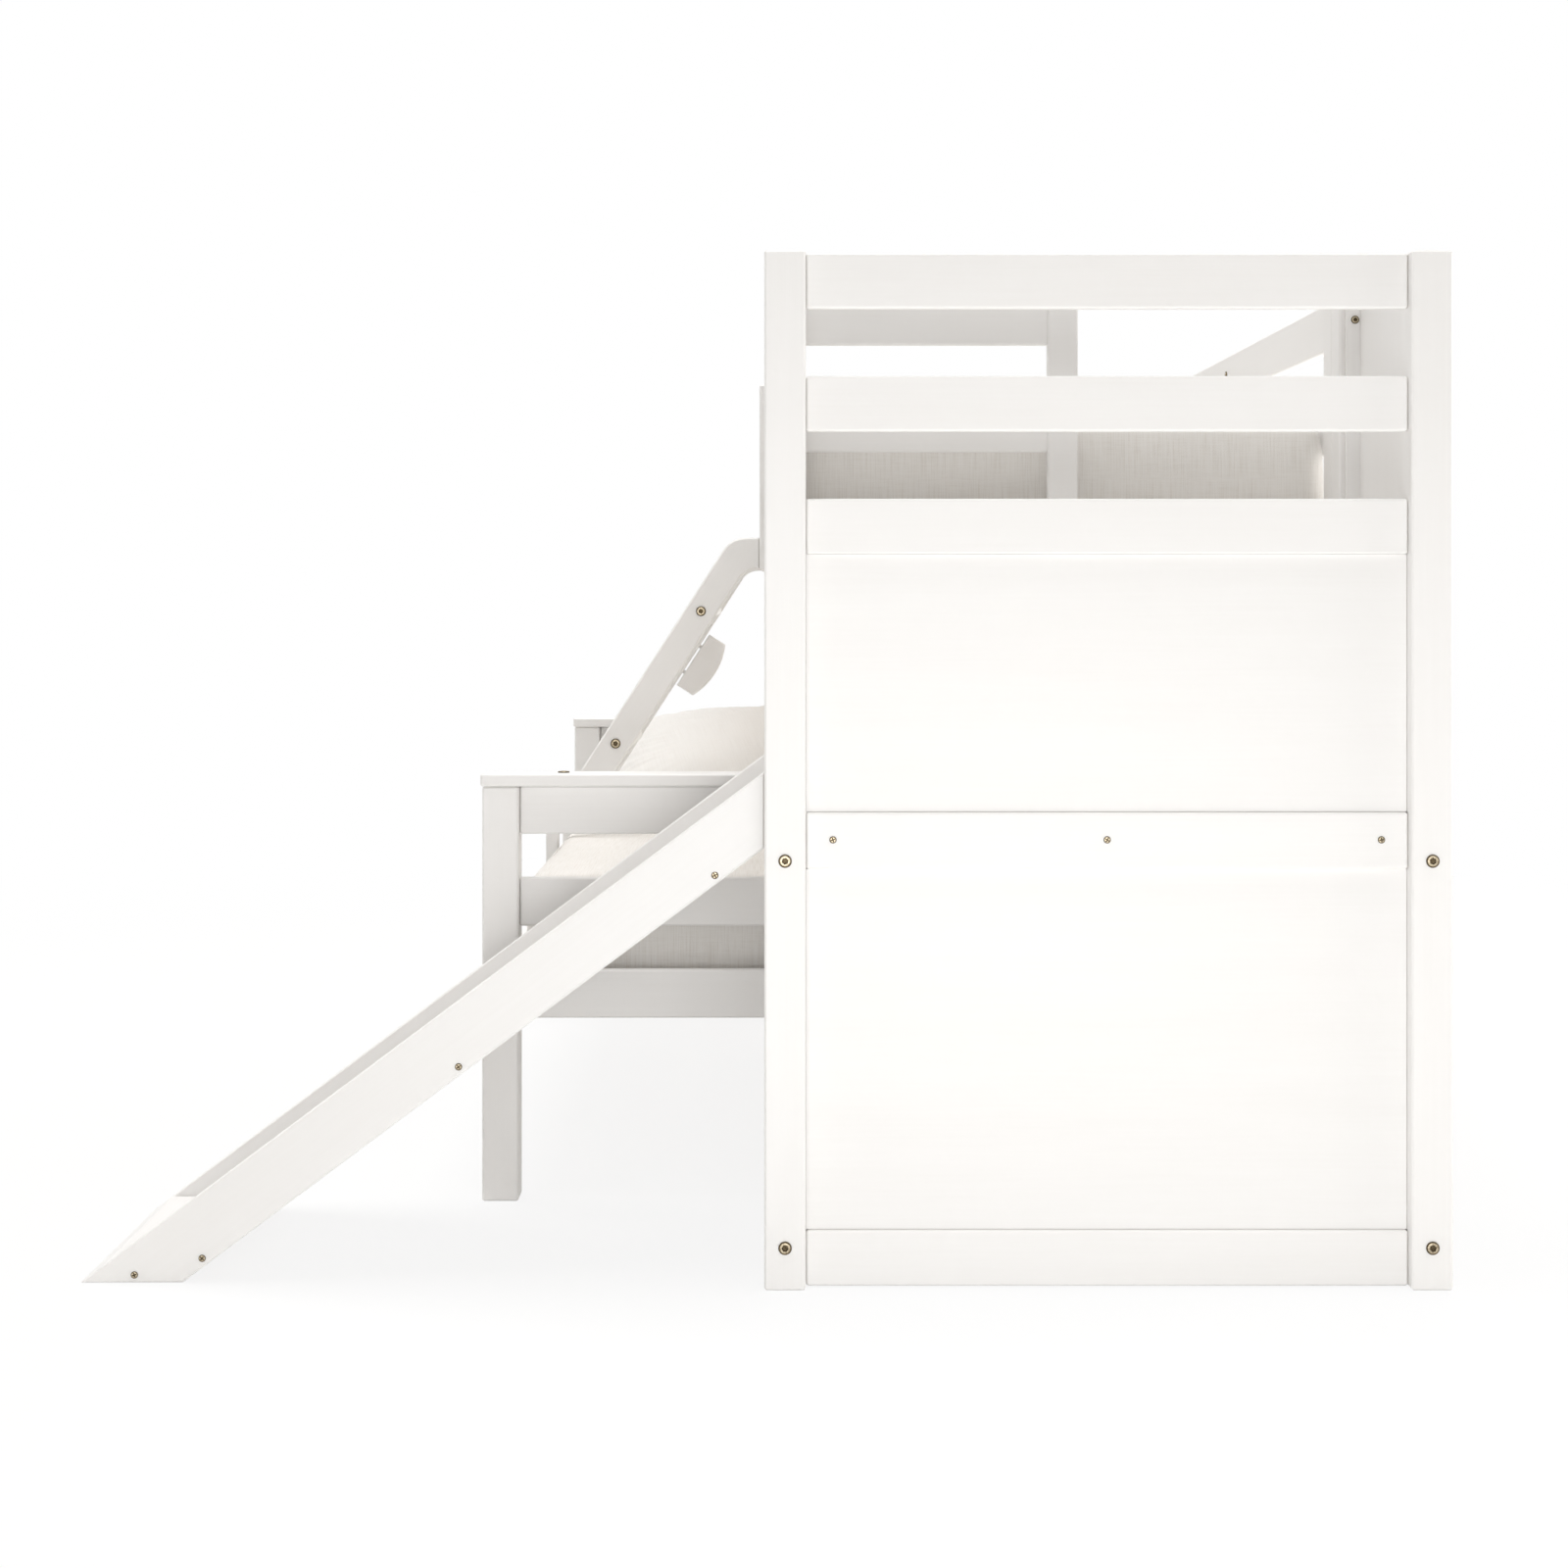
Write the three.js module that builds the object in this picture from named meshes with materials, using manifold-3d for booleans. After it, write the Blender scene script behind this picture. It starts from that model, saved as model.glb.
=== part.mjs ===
// Twin-over-full bunk bed with a landing tower and a slide at its near end.
// Lengths are millimetres. +X points to the wall side, +Y away from the tower, +Z up.
// Pieces are placed from the wall face (x = 0), the tower's front (y = 0) and the floor (z = 0).
import * as THREE from "three";
import Module from "manifold-3d";
import { mergeVertices } from "three/addons/utils/BufferGeometryUtils.js";

const wasm = await Module();
wasm.setup();

// Frame stock
const post = 62;                // square posts
const boardThickness = 22;      // rails and guard boards
const railHeight = 83;
const boardRecess = 20;         // rails sit this far behind the posts' faces
const panelThickness = 12;
const panelRecess = 29;         // panels sit behind the rails' faces
const ease = 3;                 // eased edge of every board
const fit = 0.3;                // clearance between neighbouring pieces
const tenon = 6;                // depth of a glued joint inside one piece

// Overall sizes
const height = 1551;            // floor to the tops of the tall posts
const topInset = 2;             // top rails end this far below the posts' tops
const twinWidth = 1027;         // outer width of the tower and the upper bunk
const fullWidth = 1513;         // outer width of the lower bed
const towerDepth = 560;
const bunkLength = 2018;

// Heights of the boards
const lowerRailZ = 310;         // underside of the lower bed's bottom rails
const lowerPitch = 158;         // from board to board on the lower bed's ends
const lowerBoardCount = 3;
const guardPitch = 184;         // from board to board on the upper frames
const guardCount = 2;
const capThickness = 22;
const capOverhang = 3;

// Tower
const towerBottomLift = 1.5;    // bottom rail's gap to the floor
const towerBottomHeight = 83;
const middleRailHeight = 85;
const deckTop = 700;
const deckThickness = 18;
const cleatSize = 24;
const wallPanelInset = 33;      // wall panel's inner face, measured from the posts' inner face
const battenWidth = 23;
const battenThickness = 12;
const towerSideRailZ = 22;      // underside of the two low side rails

// Steps on the landing
const stepWidth = 215;
const stepDepth = 440;
const stepBoard = 18;
const stepCount = 2;

// Way in from the tower to the upper bunk
const entryWidth = 431;
const entryBoardWidth = 52;
const entryBoardProud = 6;      // entry board stands in front of the guard boards
const stileWidth = 52;
const stileThickness = 18;
const stilePitch = 226;         // between the hidden stiles that join the end boards

// Slide
const slideAngle = THREE.MathUtils.degToRad(36.75);
const slideSideHeight = 92;     // side board, square to its edge
const slideSideThickness = 18;
const crossbarHeight = 24;
const crossbarWidth = 40;
const crossbarCount = 3;
const firstCrossbar = 46;       // bar centre to the low end, along the slope
const lastCrossbar = 84;        // bar centre to the top end, along the slope
const exitThickness = 24;

// Ladder
const ladderWidth = 419;
const stringerWidth = 59;
const stringerThickness = 22;
const armDrop = 29;             // level arm's top, below the top of the end rails
const armHeight = 63;
const armLength = 28;           // arm's underside, from the grab board to the corner of the bend
const armStraight = 6;          // level part of the arm's underside
const outerBend = 56;
const footRise = 24;            // top of the foot's upright cut, over the mattress edge
const footClear = 6;            // gap over the mattress edge
const footWidth = 26;
const treadDepth = 64;
const treadThickness = 22;
const treadShares = [0.283, 0.744];   // of the rise from the foot's cut to the arm's top
const grabBoardWidth = 62;
const grabBoardThickness = 18;
const ladderGuardDrop = 89;     // ladder-side guard's top, below the other guards' tops
const grabBoardOverhang = 11;   // grab boards reach this far below the side rail
const wallStileOffset = 130;    // wall guard's back stile, beyond the middle of the bunk

// Curved block behind the ladder
const blockStart = 163;         // from the arm's corner, down along the stringer
const blockLength = 131;
const blockEnd = 42;
const blockMiddle = 57;
const blockStandoff = 4;
const blockThickness = 22;
const pinDiameter = 8;

// Bed bases
const fullRailInset = 13;       // lower ladder-side rail, from the posts' outer face
const ledgerHeight = 24;
const ledgerWidth = 20;
const slatThickness = 16;
const slatWidth = 68;
const slatCount = 13;
const slatGap = 1;
const tapeWidth = 30;
const tapeThickness = 2;
const beamWidth = 40;
const beamHeight = 60;

// Bedding
const mattressHeight = 197;
const mattressEndGap = 12;
const mattressSideGap = 3;
const mattressWallGap = 16;
const mattressCorner = 55;
const mattressCrown = 5;
const mattressDraw = 6;         // how far the sides are drawn in
const piping = 7;               // radius of the seam round the top and bottom edges
const pillowWidth = 700;
const pillowDepth = 430;
const pillowHeight = 141;
const pillowDraw = 6;
const pillowRoundness = 2.15;   // 2 is an ellipse, more is nearer to a rectangle
const pillowFullnessShare = 0.45;
const backPillowInset = 30;     // from the mattress's open edge
const backPillowLean = THREE.MathUtils.degToRad(22.5);
const frontPillowInset = 76;
const frontPillowLean = THREE.MathUtils.degToRad(25);
const frontPillowTurn = THREE.MathUtils.degToRad(12);
const pillowPitch = 304;        // between the rear edges of the two pillows

// Working planes
const wallX = 0;
const twinX = wallX - twinWidth;
const fullX = wallX - fullWidth;
const bunkY = towerDepth + fit;
const farY = bunkY + bunkLength;
const guardTopZ = height - topInset - railHeight;
const upperRailZ = guardTopZ - guardCount * guardPitch;
const lowerTopZ = lowerRailZ + (lowerBoardCount - 1) * lowerPitch;
const capZ = lowerTopZ + railHeight;
const deckBottom = deckTop - deckThickness;
const fullSlatTop = lowerRailZ + ledgerHeight + slatThickness;
const twinSlatTop = upperRailZ + ledgerHeight + slatThickness;
const ladderY = bunkY + bunkLength / 2;

// Spans along one axis: each is a pair, low and high
const span = (low, size) => [low, low + size];
const between = (low, high) => [low + fit, high - fit];
const towerInner = between(twinX + post, wallX - post);
const towerInnerY = between(post, towerDepth - post);
const bunkInnerY = between(bunkY + post, farY - post);
const frontBoardY = span(boardRecess, boardThickness);
const nearBoardY = span(bunkY + boardRecess, boardThickness);
const farBoardY = [farY - boardRecess - boardThickness, farY - boardRecess];
const wallBoardX = [wallX - boardRecess - boardThickness, wallX - boardRecess];

// Materials
const paint = () => new THREE.MeshStandardMaterial({ color: 0xf2f0ec, roughness: 0.45, metalness: 0 });
const rawWood = () => new THREE.MeshStandardMaterial({ color: 0xd9bd92, roughness: 0.7, metalness: 0 });
const linen = () => new THREE.MeshStandardMaterial({ color: 0xdedbd2, roughness: 0.95, metalness: 0 });
const cotton = () => new THREE.MeshStandardMaterial({ color: 0xe9e7e1, roughness: 0.95, metalness: 0 });

const bed = new THREE.Group();

function put(name, geometry, material) {
  const mesh = new THREE.Mesh(geometry, material);
  mesh.name = name;
  bed.add(mesh);
  return mesh;
}

// A board with eased edges that fills three spans.
function boardGeometry(xs, ys, zs, edge = ease) {
  const [w, d, h] = [xs[1] - xs[0], ys[1] - ys[0], zs[1] - zs[0]];
  const shape = new THREE.Shape();
  shape.moveTo(edge, 0);
  shape.lineTo(w - edge, 0);
  shape.lineTo(w, edge);
  shape.lineTo(w, d - edge);
  shape.lineTo(w - edge, d);
  shape.lineTo(edge, d);
  shape.lineTo(0, d - edge);
  shape.lineTo(0, edge);
  shape.closePath();
  const geometry = new THREE.ExtrudeGeometry(shape, {
    depth: h - 2 * edge,
    bevelThickness: edge,
    bevelSize: edge,
    bevelOffset: -edge,
    bevelSegments: 1,
  });
  return geometry.translate(xs[0], ys[0], zs[0] + edge);
}

function board(name, xs, ys, zs, material = paint()) {
  return put(name, boardGeometry(xs, ys, zs), material);
}

// A plain box that fills three spans.
function blockGeometry(xs, ys, zs) {
  const geometry = new THREE.BoxGeometry(xs[1] - xs[0], ys[1] - ys[0], zs[1] - zs[0]);
  return geometry.translate((xs[0] + xs[1]) / 2, (ys[0] + ys[1]) / 2, (zs[0] + zs[1]) / 2);
}

// An outline of [x, z] points, as thick as the y span.
function profileGeometry(points, ys, edge = ease) {
  const shape = new THREE.Shape(points.map(([x, z]) => new THREE.Vector2(x, z)));
  const geometry = new THREE.ExtrudeGeometry(shape, {
    depth: ys[1] - ys[0] - 2 * edge,
    bevelEnabled: edge > 0,
    bevelThickness: edge,
    bevelSize: edge,
    bevelOffset: -edge,
    bevelSegments: 1,
  });
  return geometry.rotateX(Math.PI / 2).translate(0, ys[1] - edge, 0);
}

// An outline of [x, y] points, as tall as the z span.
function planGeometry(points, zs) {
  const shape = new THREE.Shape(points.map(([x, y]) => new THREE.Vector2(x, y)));
  const geometry = new THREE.ExtrudeGeometry(shape, { depth: zs[1] - zs[0], bevelEnabled: false });
  return geometry.translate(0, 0, zs[0]);
}

function toSolid(geometry) {
  const bare = geometry.index ? geometry.toNonIndexed() : geometry.clone();
  bare.deleteAttribute("normal");
  bare.deleteAttribute("uv");
  const merged = mergeVertices(bare);
  return new wasm.Manifold(new wasm.Mesh({
    numProp: 3,
    vertProperties: new Float32Array(merged.attributes.position.array),
    triVerts: new Uint32Array(merged.index.array),
  }));
}

// Pieces glued together into one solid.
function glued(geometries) {
  const solid = geometries.map(toSolid).reduce((sum, next) => sum.add(next));
  const mesh = solid.getMesh();
  const geometry = new THREE.BufferGeometry();
  geometry.setAttribute("position", new THREE.BufferAttribute(new Float32Array(mesh.vertProperties), 3));
  geometry.setIndex(new THREE.BufferAttribute(new Uint32Array(mesh.triVerts), 1));
  geometry.computeVertexNormals();
  return geometry;
}

// Points of an arc that rounds the corner between two straight edges.
function roundedCorner(before, corner, after, radius, steps) {
  const c = new THREE.Vector2(...corner);
  const toBefore = new THREE.Vector2(...before).sub(c).normalize();
  const toAfter = new THREE.Vector2(...after).sub(c).normalize();
  const half = Math.acos(toBefore.dot(toAfter)) / 2;
  const centre = toBefore.clone().add(toAfter).normalize().multiplyScalar(radius / Math.sin(half)).add(c);
  const start = toBefore.clone().multiplyScalar(radius / Math.tan(half)).add(c).sub(centre);
  const end = toAfter.clone().multiplyScalar(radius / Math.tan(half)).add(c).sub(centre);
  const turn = Math.atan2(start.cross(end), start.dot(end));
  return Array.from({ length: steps + 1 }, (_, i) => {
    const p = start.clone().rotateAround(new THREE.Vector2(), (turn * i) / steps).add(centre);
    return [p.x, p.y];
  });
}

// Landing tower
function towerPosts() {
  const low = span(twinX, post);
  const high = [wallX - post, wallX];
  const front = span(0, post);
  const rear = [towerDepth - post, towerDepth];
  board("tower_front_left_post", low, front, [0, height]);
  board("tower_front_right_post", high, front, [0, height]);
  board("tower_rear_left_post", low, rear, [0, height]);
  board("tower_rear_right_post", high, rear, [0, height]);
}

function towerFront() {
  const bottom = span(towerBottomLift, towerBottomHeight);
  const middle = span(lowerTopZ, middleRailHeight);
  const upper = span(upperRailZ, railHeight);
  board("tower_bottom_rail", towerInner, frontBoardY, bottom);
  board("tower_middle_rail", towerInner, frontBoardY, middle);
  board("tower_upper_rail", towerInner, frontBoardY, upper);
  board("tower_guard_rail", towerInner, frontBoardY, span(upperRailZ + guardPitch, railHeight));
  board("tower_top_rail", towerInner, frontBoardY, span(guardTopZ, railHeight));
  const panelY = span(panelRecess, panelThickness);
  put("tower_lower_panel", blockGeometry(towerInner, panelY, between(bottom[1], middle[0])), paint());
  put("tower_upper_panel", blockGeometry(towerInner, panelY, between(middle[1], upper[0])), paint());
}

function towerSides() {
  const slideSideX = span(twinX + boardRecess, boardThickness);
  const carrying = [deckBottom - fit - railHeight, deckBottom - fit];
  const low = span(towerSideRailZ, railHeight);
  board("tower_slide_side_upper_rail", slideSideX, towerInnerY, carrying);
  board("tower_slide_side_lower_rail", slideSideX, towerInnerY, low);
  board("tower_wall_side_upper_rail", wallBoardX, towerInnerY, carrying);
  board("tower_wall_side_lower_rail", wallBoardX, towerInnerY, low);
  const rearY = [towerDepth - boardRecess - boardThickness, towerDepth - boardRecess];
  board("tower_rear_rail", towerInner, rearY, carrying);
}

// The wall panel stands on the deck and has a corner batten glued along each end.
function towerWallPanel() {
  const inner = wallX - post + wallPanelInset;
  const outer = inner + panelThickness;
  const proud = inner - battenWidth;
  const [y0, y1] = towerInnerY;
  const plan = [
    [outer, y0], [outer, y1], [proud, y1], [proud, y1 - battenThickness],
    [inner, y1 - battenThickness], [inner, y0 + battenThickness], [proud, y0 + battenThickness], [proud, y0],
  ];
  put("tower_wall_panel", planGeometry(plan, [deckTop + fit, height - topInset]), paint());
}

// The deck lies on the side rails, and a cleat along its front edge is screwed to the middle rail.
function landingDeck() {
  const [x1, x2] = towerInner;
  const x0 = twinX;
  const x3 = wallX - post + wallPanelInset + panelThickness;
  const y0 = frontBoardY[1] + fit;
  const y1 = post + fit;
  const y2 = towerDepth - post - fit;
  const y3 = towerDepth - boardRecess;
  const plan = [
    [x1, y0], [x2, y0], [x2, y1], [x3, y1], [x3, y2], [x2, y2],
    [x2, y3], [x1, y3], [x1, y2], [x0, y2], [x0, y1], [x1, y1],
  ];
  const cleatZ = [deckBottom - cleatSize, deckTop - ease];
  const cleat = boardGeometry([x1 + ease, x2 - ease], span(y0, cleatSize), cleatZ);
  put("landing_deck", glued([planGeometry(plan, [deckBottom, deckTop]), cleat]), paint());
}

// A glued box with two treads that lead up from the deck to the way into the bunk.
function landingSteps() {
  const x1 = wallX - post - fit;
  const y1 = towerDepth - boardRecess;
  const y0 = y1 - stepDepth;
  const base = deckTop + fit;
  const rise = (upperRailZ + railHeight - deckTop) / (stepCount + 1);
  const pieces = [];
  const outline = [[x1 - stepCount * stepWidth, base]];
  for (let i = 0; i < stepCount; i += 1) {
    const left = x1 - (stepCount - i) * stepWidth;
    const top = deckTop + (i + 1) * rise;
    outline.push([left, top - stepBoard], [left + stepWidth, top - stepBoard]);
    const bottom = i === 0 ? base : top - rise - stepBoard;
    pieces.push(boardGeometry([left, left + stepWidth], [y0, y1], [top - stepBoard, top]));
    pieces.push(boardGeometry(span(left, stepBoard), [y0, y1], [bottom, top - stepBoard / 2]));
  }
  outline.push([x1, base]);
  pieces.push(profileGeometry(outline, span(y0, stepBoard)));
  pieces.push(profileGeometry(outline, [y1 - stepBoard, y1]));
  put("landing_steps", glued(pieces), paint());
}

// Slide: every line along the slope is set off square from the side boards' lower edge
const slope = Math.tan(slideAngle);
const bedOffset = crossbarHeight + panelThickness;
const slideFootX = twinX - (deckTop - bedOffset / Math.cos(slideAngle)) / slope;
const slideTopX = twinX - fit;
const slideLineZ = (x, offset) => (x - slideFootX) * slope + offset / Math.cos(slideAngle);
const slideLineX = (z, offset) => slideFootX + (z - offset / Math.cos(slideAngle)) / slope;

function slideSides() {
  const outline = [
    [slideLineX(0, slideSideHeight), 0],
    [slideFootX, 0],
    [slideTopX, slideLineZ(slideTopX, 0)],
    [slideTopX, slideLineZ(slideTopX, slideSideHeight)],
  ];
  const nearY = [post - slideSideThickness, post];
  const farSideY = span(towerDepth - post, slideSideThickness);
  put("slide_near_side", profileGeometry(outline, nearY), paint());
  put("slide_far_side", profileGeometry(outline, farSideY), paint());
}

function slideBed() {
  const seat = exitThickness + fit;
  const panel = [
    [slideLineX(seat, bedOffset), seat],
    [slideLineX(seat, crossbarHeight), seat],
    [slideTopX, slideLineZ(slideTopX, crossbarHeight)],
    [slideTopX, slideLineZ(slideTopX, bedOffset)],
  ];
  put("slide_panel", profileGeometry(panel, towerInnerY, 0), paint());
  const exit = [
    [slideLineX(0, slideSideHeight), 0],
    [slideFootX, 0],
    [slideFootX, exitThickness],
    [slideLineX(exitThickness, slideSideHeight), exitThickness],
  ];
  put("slide_exit_board", profileGeometry(exit, towerInnerY, 0), paint());
}

function slideCrossbars() {
  const length = (slideTopX - slideFootX) / Math.cos(slideAngle);
  const pitch = (length - firstCrossbar - lastCrossbar) / (crossbarCount - 1);
  const along = new THREE.Vector2(Math.cos(slideAngle), Math.sin(slideAngle));
  const square = new THREE.Vector2(-along.y, along.x);
  const point = (s, offset) => [
    slideFootX + along.x * s + square.x * offset,
    along.y * s + square.y * offset,
  ];
  for (let i = 0; i < crossbarCount; i += 1) {
    const low = firstCrossbar + i * pitch - crossbarWidth / 2;
    const high = low + crossbarWidth;
    const top = crossbarHeight - fit;
    const bar = [point(low, 0), point(high, 0), point(high, top), point(low, top)];
    put(`slide_crossbar_${i + 1}`, profileGeometry(bar, towerInnerY), rawWood());
  }
}

// Ends of the bunk
function bunkPosts(end, ys) {
  board(`${end}_outer_post`, span(fullX, post), ys, [0, capZ - fit]);
  board(`${end}_middle_post`, span(twinX, post), ys, [0, height]);
  board(`${end}_wall_post`, [wallX - post, wallX], ys, [0, height]);
}

const outerEndX = between(fullX + post, twinX);
const capX = [fullX - capOverhang, twinX - fit];
const lowerBoardZ = Array.from({ length: lowerBoardCount }, (_, i) => (
  span(lowerRailZ + i * lowerPitch, railHeight)));

function nearLowerEnd() {
  const top = [lowerBoardZ[2][0], capZ - fit];
  board("near_bottom_rail", outerEndX, nearBoardY, lowerBoardZ[0]);
  board("near_middle_board", outerEndX, nearBoardY, lowerBoardZ[1]);
  board("near_top_rail", outerEndX, nearBoardY, top);
  board("near_cap", capX, [bunkY - capOverhang, bunkY + post + capOverhang], span(capZ, capThickness));
  put("near_inner_end_panel", slattedPanel(towerInner, nearBoardY, lowerBoardZ), paint());
}

// Boards joined by upright stiles set back inside their thickness, at an even pitch.
function slattedPanel(xs, ys, boards) {
  const pieces = boards.map((zs) => boardGeometry(xs, ys, zs));
  const inset = (boardThickness - stileThickness) / 2;
  const stileY = span(ys[0] + inset, stileThickness);
  const stileZ = [boards[0][1] - tenon, boards[boards.length - 1][0] + tenon];
  const bays = Math.max(2, Math.round((xs[1] - xs[0]) / stilePitch));
  for (let i = 1; i < bays; i += 1) {
    const centre = xs[0] + ((xs[1] - xs[0]) * i) / bays;
    pieces.push(boardGeometry(span(centre - stileWidth / 2, stileWidth), stileY, stileZ));
  }
  return glued(pieces);
}

function farLowerEnd() {
  const capY = [farY - post - capOverhang, farY];
  const cap = boardGeometry(capX, capY, span(capZ, capThickness));
  const tongueY = [farBoardY[0] + ease, farBoardY[1] - ease];
  const tongue = blockGeometry([outerEndX[0] + ease, outerEndX[1] - ease], tongueY, [capZ - tenon, capZ + tenon]);
  put("far_outer_headboard", glued([slattedPanel(outerEndX, farBoardY, lowerBoardZ), tongue, cap]), paint());
  put("far_inner_headboard", slattedPanel(towerInner, farBoardY, lowerBoardZ), paint());
}

const guardZ = Array.from({ length: guardCount }, (_, i) => (
  span(upperRailZ + (i + 1) * guardPitch, railHeight)));
const endRailZ = span(upperRailZ, railHeight);

function nearUpperEnd() {
  const entryX = [wallX - post - entryWidth - entryBoardWidth, wallX - post - entryWidth];
  const entryY = span(nearBoardY[0] - entryBoardProud, boardThickness);
  const pieces = [boardGeometry(towerInner, nearBoardY, endRailZ)];
  pieces.push(boardGeometry(entryX, entryY, [endRailZ[1] - tenon, guardZ[1][1]]));
  for (const zs of guardZ) {
    pieces.push(boardGeometry([towerInner[0], entryX[0] + tenon], nearBoardY, zs));
  }
  put("near_upper_end_frame", glued(pieces), paint());
}

function farUpperEnd() {
  put("far_upper_end_frame", slattedPanel(towerInner, farBoardY, [endRailZ, ...guardZ]), paint());
}

// Side rails carry the slats on a glued ledger.
function sideRail(name, xs, z, innerSide) {
  const rail = boardGeometry(xs, bunkInnerY, span(z, railHeight));
  const ledgerX = innerSide > 0
    ? [xs[1] - tenon, xs[1] + ledgerWidth]
    : [xs[0] - ledgerWidth, xs[0] + tenon];
  const ledger = boardGeometry(ledgerX, bunkInnerY, span(z, ledgerHeight));
  put(name, glued([rail, ledger]), paint());
}

const fullRailX = span(fullX + fullRailInset, boardThickness);
const twinRailX = span(twinX, boardThickness);

function sideRails() {
  sideRail("full_ladder_side_rail", fullRailX, lowerRailZ, 1);
  sideRail("full_wall_side_rail", wallBoardX, lowerRailZ, -1);
  sideRail("twin_ladder_side_rail", twinRailX, upperRailZ, 1);
  sideRail("twin_wall_side_rail", wallBoardX, upperRailZ, -1);
}

// Guards of the upper bunk
const grabX = [twinX - fit - grabBoardThickness, twinX - fit];
const grabOffset = (ladderWidth - stringerThickness) / 2;
const grabSpan = (side) => span(ladderY + side * grabOffset - grabBoardWidth / 2, grabBoardWidth);

function ladderSideGuard(name, side) {
  const grabY = grabSpan(side);
  const boardY = side < 0 ? [bunkInnerY[0], grabY[1]] : [grabY[0], bunkInnerY[1]];
  const top = guardZ[guardCount - 1][1] - ladderGuardDrop;
  const topZ = [top - railHeight, top];
  const space = (topZ[0] - endRailZ[1] - railHeight) / 2;
  const lowZ = span(endRailZ[1] + space, railHeight);
  const pieces = [boardGeometry(grabX, grabY, [upperRailZ - grabBoardOverhang, top])];
  for (const zs of [lowZ, topZ]) {
    pieces.push(boardGeometry(twinRailX, boardY, zs));
    const tongueZ = [zs[0] + 2 * ease, zs[1] - 2 * ease];
    const tongueY = [grabY[0] + 2 * ease, grabY[1] - 2 * ease];
    pieces.push(blockGeometry([grabX[1] - tenon, twinRailX[0] + tenon], tongueY, tongueZ));
  }
  put(name, glued(pieces), paint());
}

// Two boards on one back stile that also stands against the side rail.
function wallGuard() {
  const stileX = span(wallBoardX[1] + fit, stileThickness);
  const stileY = span(ladderY + wallStileOffset - grabBoardWidth / 2, grabBoardWidth);
  const pieces = [boardGeometry(stileX, stileY, [upperRailZ, guardZ[1][1]])];
  for (const zs of guardZ) {
    const tongueZ = [zs[0] + 2 * ease, zs[1] - 2 * ease];
    const tongueY = [stileY[0] + 2 * ease, stileY[1] - 2 * ease];
    pieces.push(boardGeometry(wallBoardX, bunkInnerY, zs));
    pieces.push(blockGeometry([wallBoardX[1] - tenon, stileX[0] + tenon], tongueY, tongueZ));
  }
  put("wall_side_guard", glued(pieces), paint());
}

// Slats joined by two woven tapes
function slatPieces(xs, top) {
  const ys = [bunkInnerY[0] + fit, bunkInnerY[1] - fit];
  const pitch = (ys[1] - ys[0] - slatWidth) / (slatCount - 1);
  const slatZ = [top - slatThickness + fit, top];
  const pieces = Array.from({ length: slatCount }, (_, i) => (
    blockGeometry(xs, span(ys[0] + i * pitch, slatWidth), slatZ)));
  const quarter = (xs[1] - xs[0]) / 4;
  for (const centre of [xs[0] + quarter, xs[1] - quarter]) {
    const tapeZ = [slatZ[0] - tapeThickness / 2, slatZ[0] + tapeThickness / 2];
    pieces.push(blockGeometry(span(centre - tapeWidth / 2, tapeWidth), ys, tapeZ));
  }
  return pieces;
}

function bedBases() {
  const fullSlatX = [fullRailX[1] + slatGap, wallBoardX[0] - slatGap];
  const twinSlatX = [twinRailX[1] + slatGap, wallBoardX[0] - slatGap];
  put("full_slats", glued(slatPieces(fullSlatX, fullSlatTop)), rawWood());
  put("twin_slats", glued(slatPieces(twinSlatX, twinSlatTop)), rawWood());
}

// The lower slats rest on a beam along the middle, with a leg at its mid-length.
function centreBeam() {
  const top = fullSlatTop - slatThickness - fit;
  const beamX = span((fullRailX[1] + wallBoardX[0] - beamWidth) / 2, beamWidth);
  const beamY = [nearBoardY[1] + fit, farBoardY[0] - fit];
  const legY = span((beamY[0] + beamY[1] - beamWidth) / 2, beamWidth);
  const beam = boardGeometry(beamX, beamY, [top - beamHeight, top]);
  const leg = boardGeometry(beamX, legY, [0, top - beamHeight / 2]);
  put("full_centre_beam", glued([beam, leg]), rawWood());
}

// Ladder: it leans so that its upper edge meets the foot's cut and its lower edge the arm's underside
const armEndX = grabX[0] - fit;
const armTopZ = endRailZ[1] - armDrop;
const armBottomZ = armTopZ - armHeight;
const footX = fullRailX[1] + fit;
const lowerMattressTop = fullSlatTop + fit + mattressHeight;
const footTopZ = lowerMattressTop + footRise;
const ladderRun = armEndX - armLength - footX;
const ladderRise = armBottomZ - footTopZ;
const ladderAngle = Math.atan2(ladderRise, ladderRun) + Math.asin(stringerWidth / Math.hypot(ladderRun, ladderRise));
const innerBend = (armLength - armStraight) / Math.tan(ladderAngle / 2);
const down = [-Math.cos(ladderAngle), -Math.sin(ladderAngle)];
const outward = [Math.sin(ladderAngle), -Math.cos(ladderAngle)];
const outerX = (z) => footX + (z - footTopZ) / Math.tan(ladderAngle);
const innerX = (z) => outerX(z) + stringerWidth / Math.sin(ladderAngle);

// Stations are measured from the corner under the arm, down along the stringer's lower edge.
const onStringer = (station, offset) => [
  innerX(armBottomZ) + down[0] * station + outward[0] * offset,
  armBottomZ + down[1] * station + outward[1] * offset,
];

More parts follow.
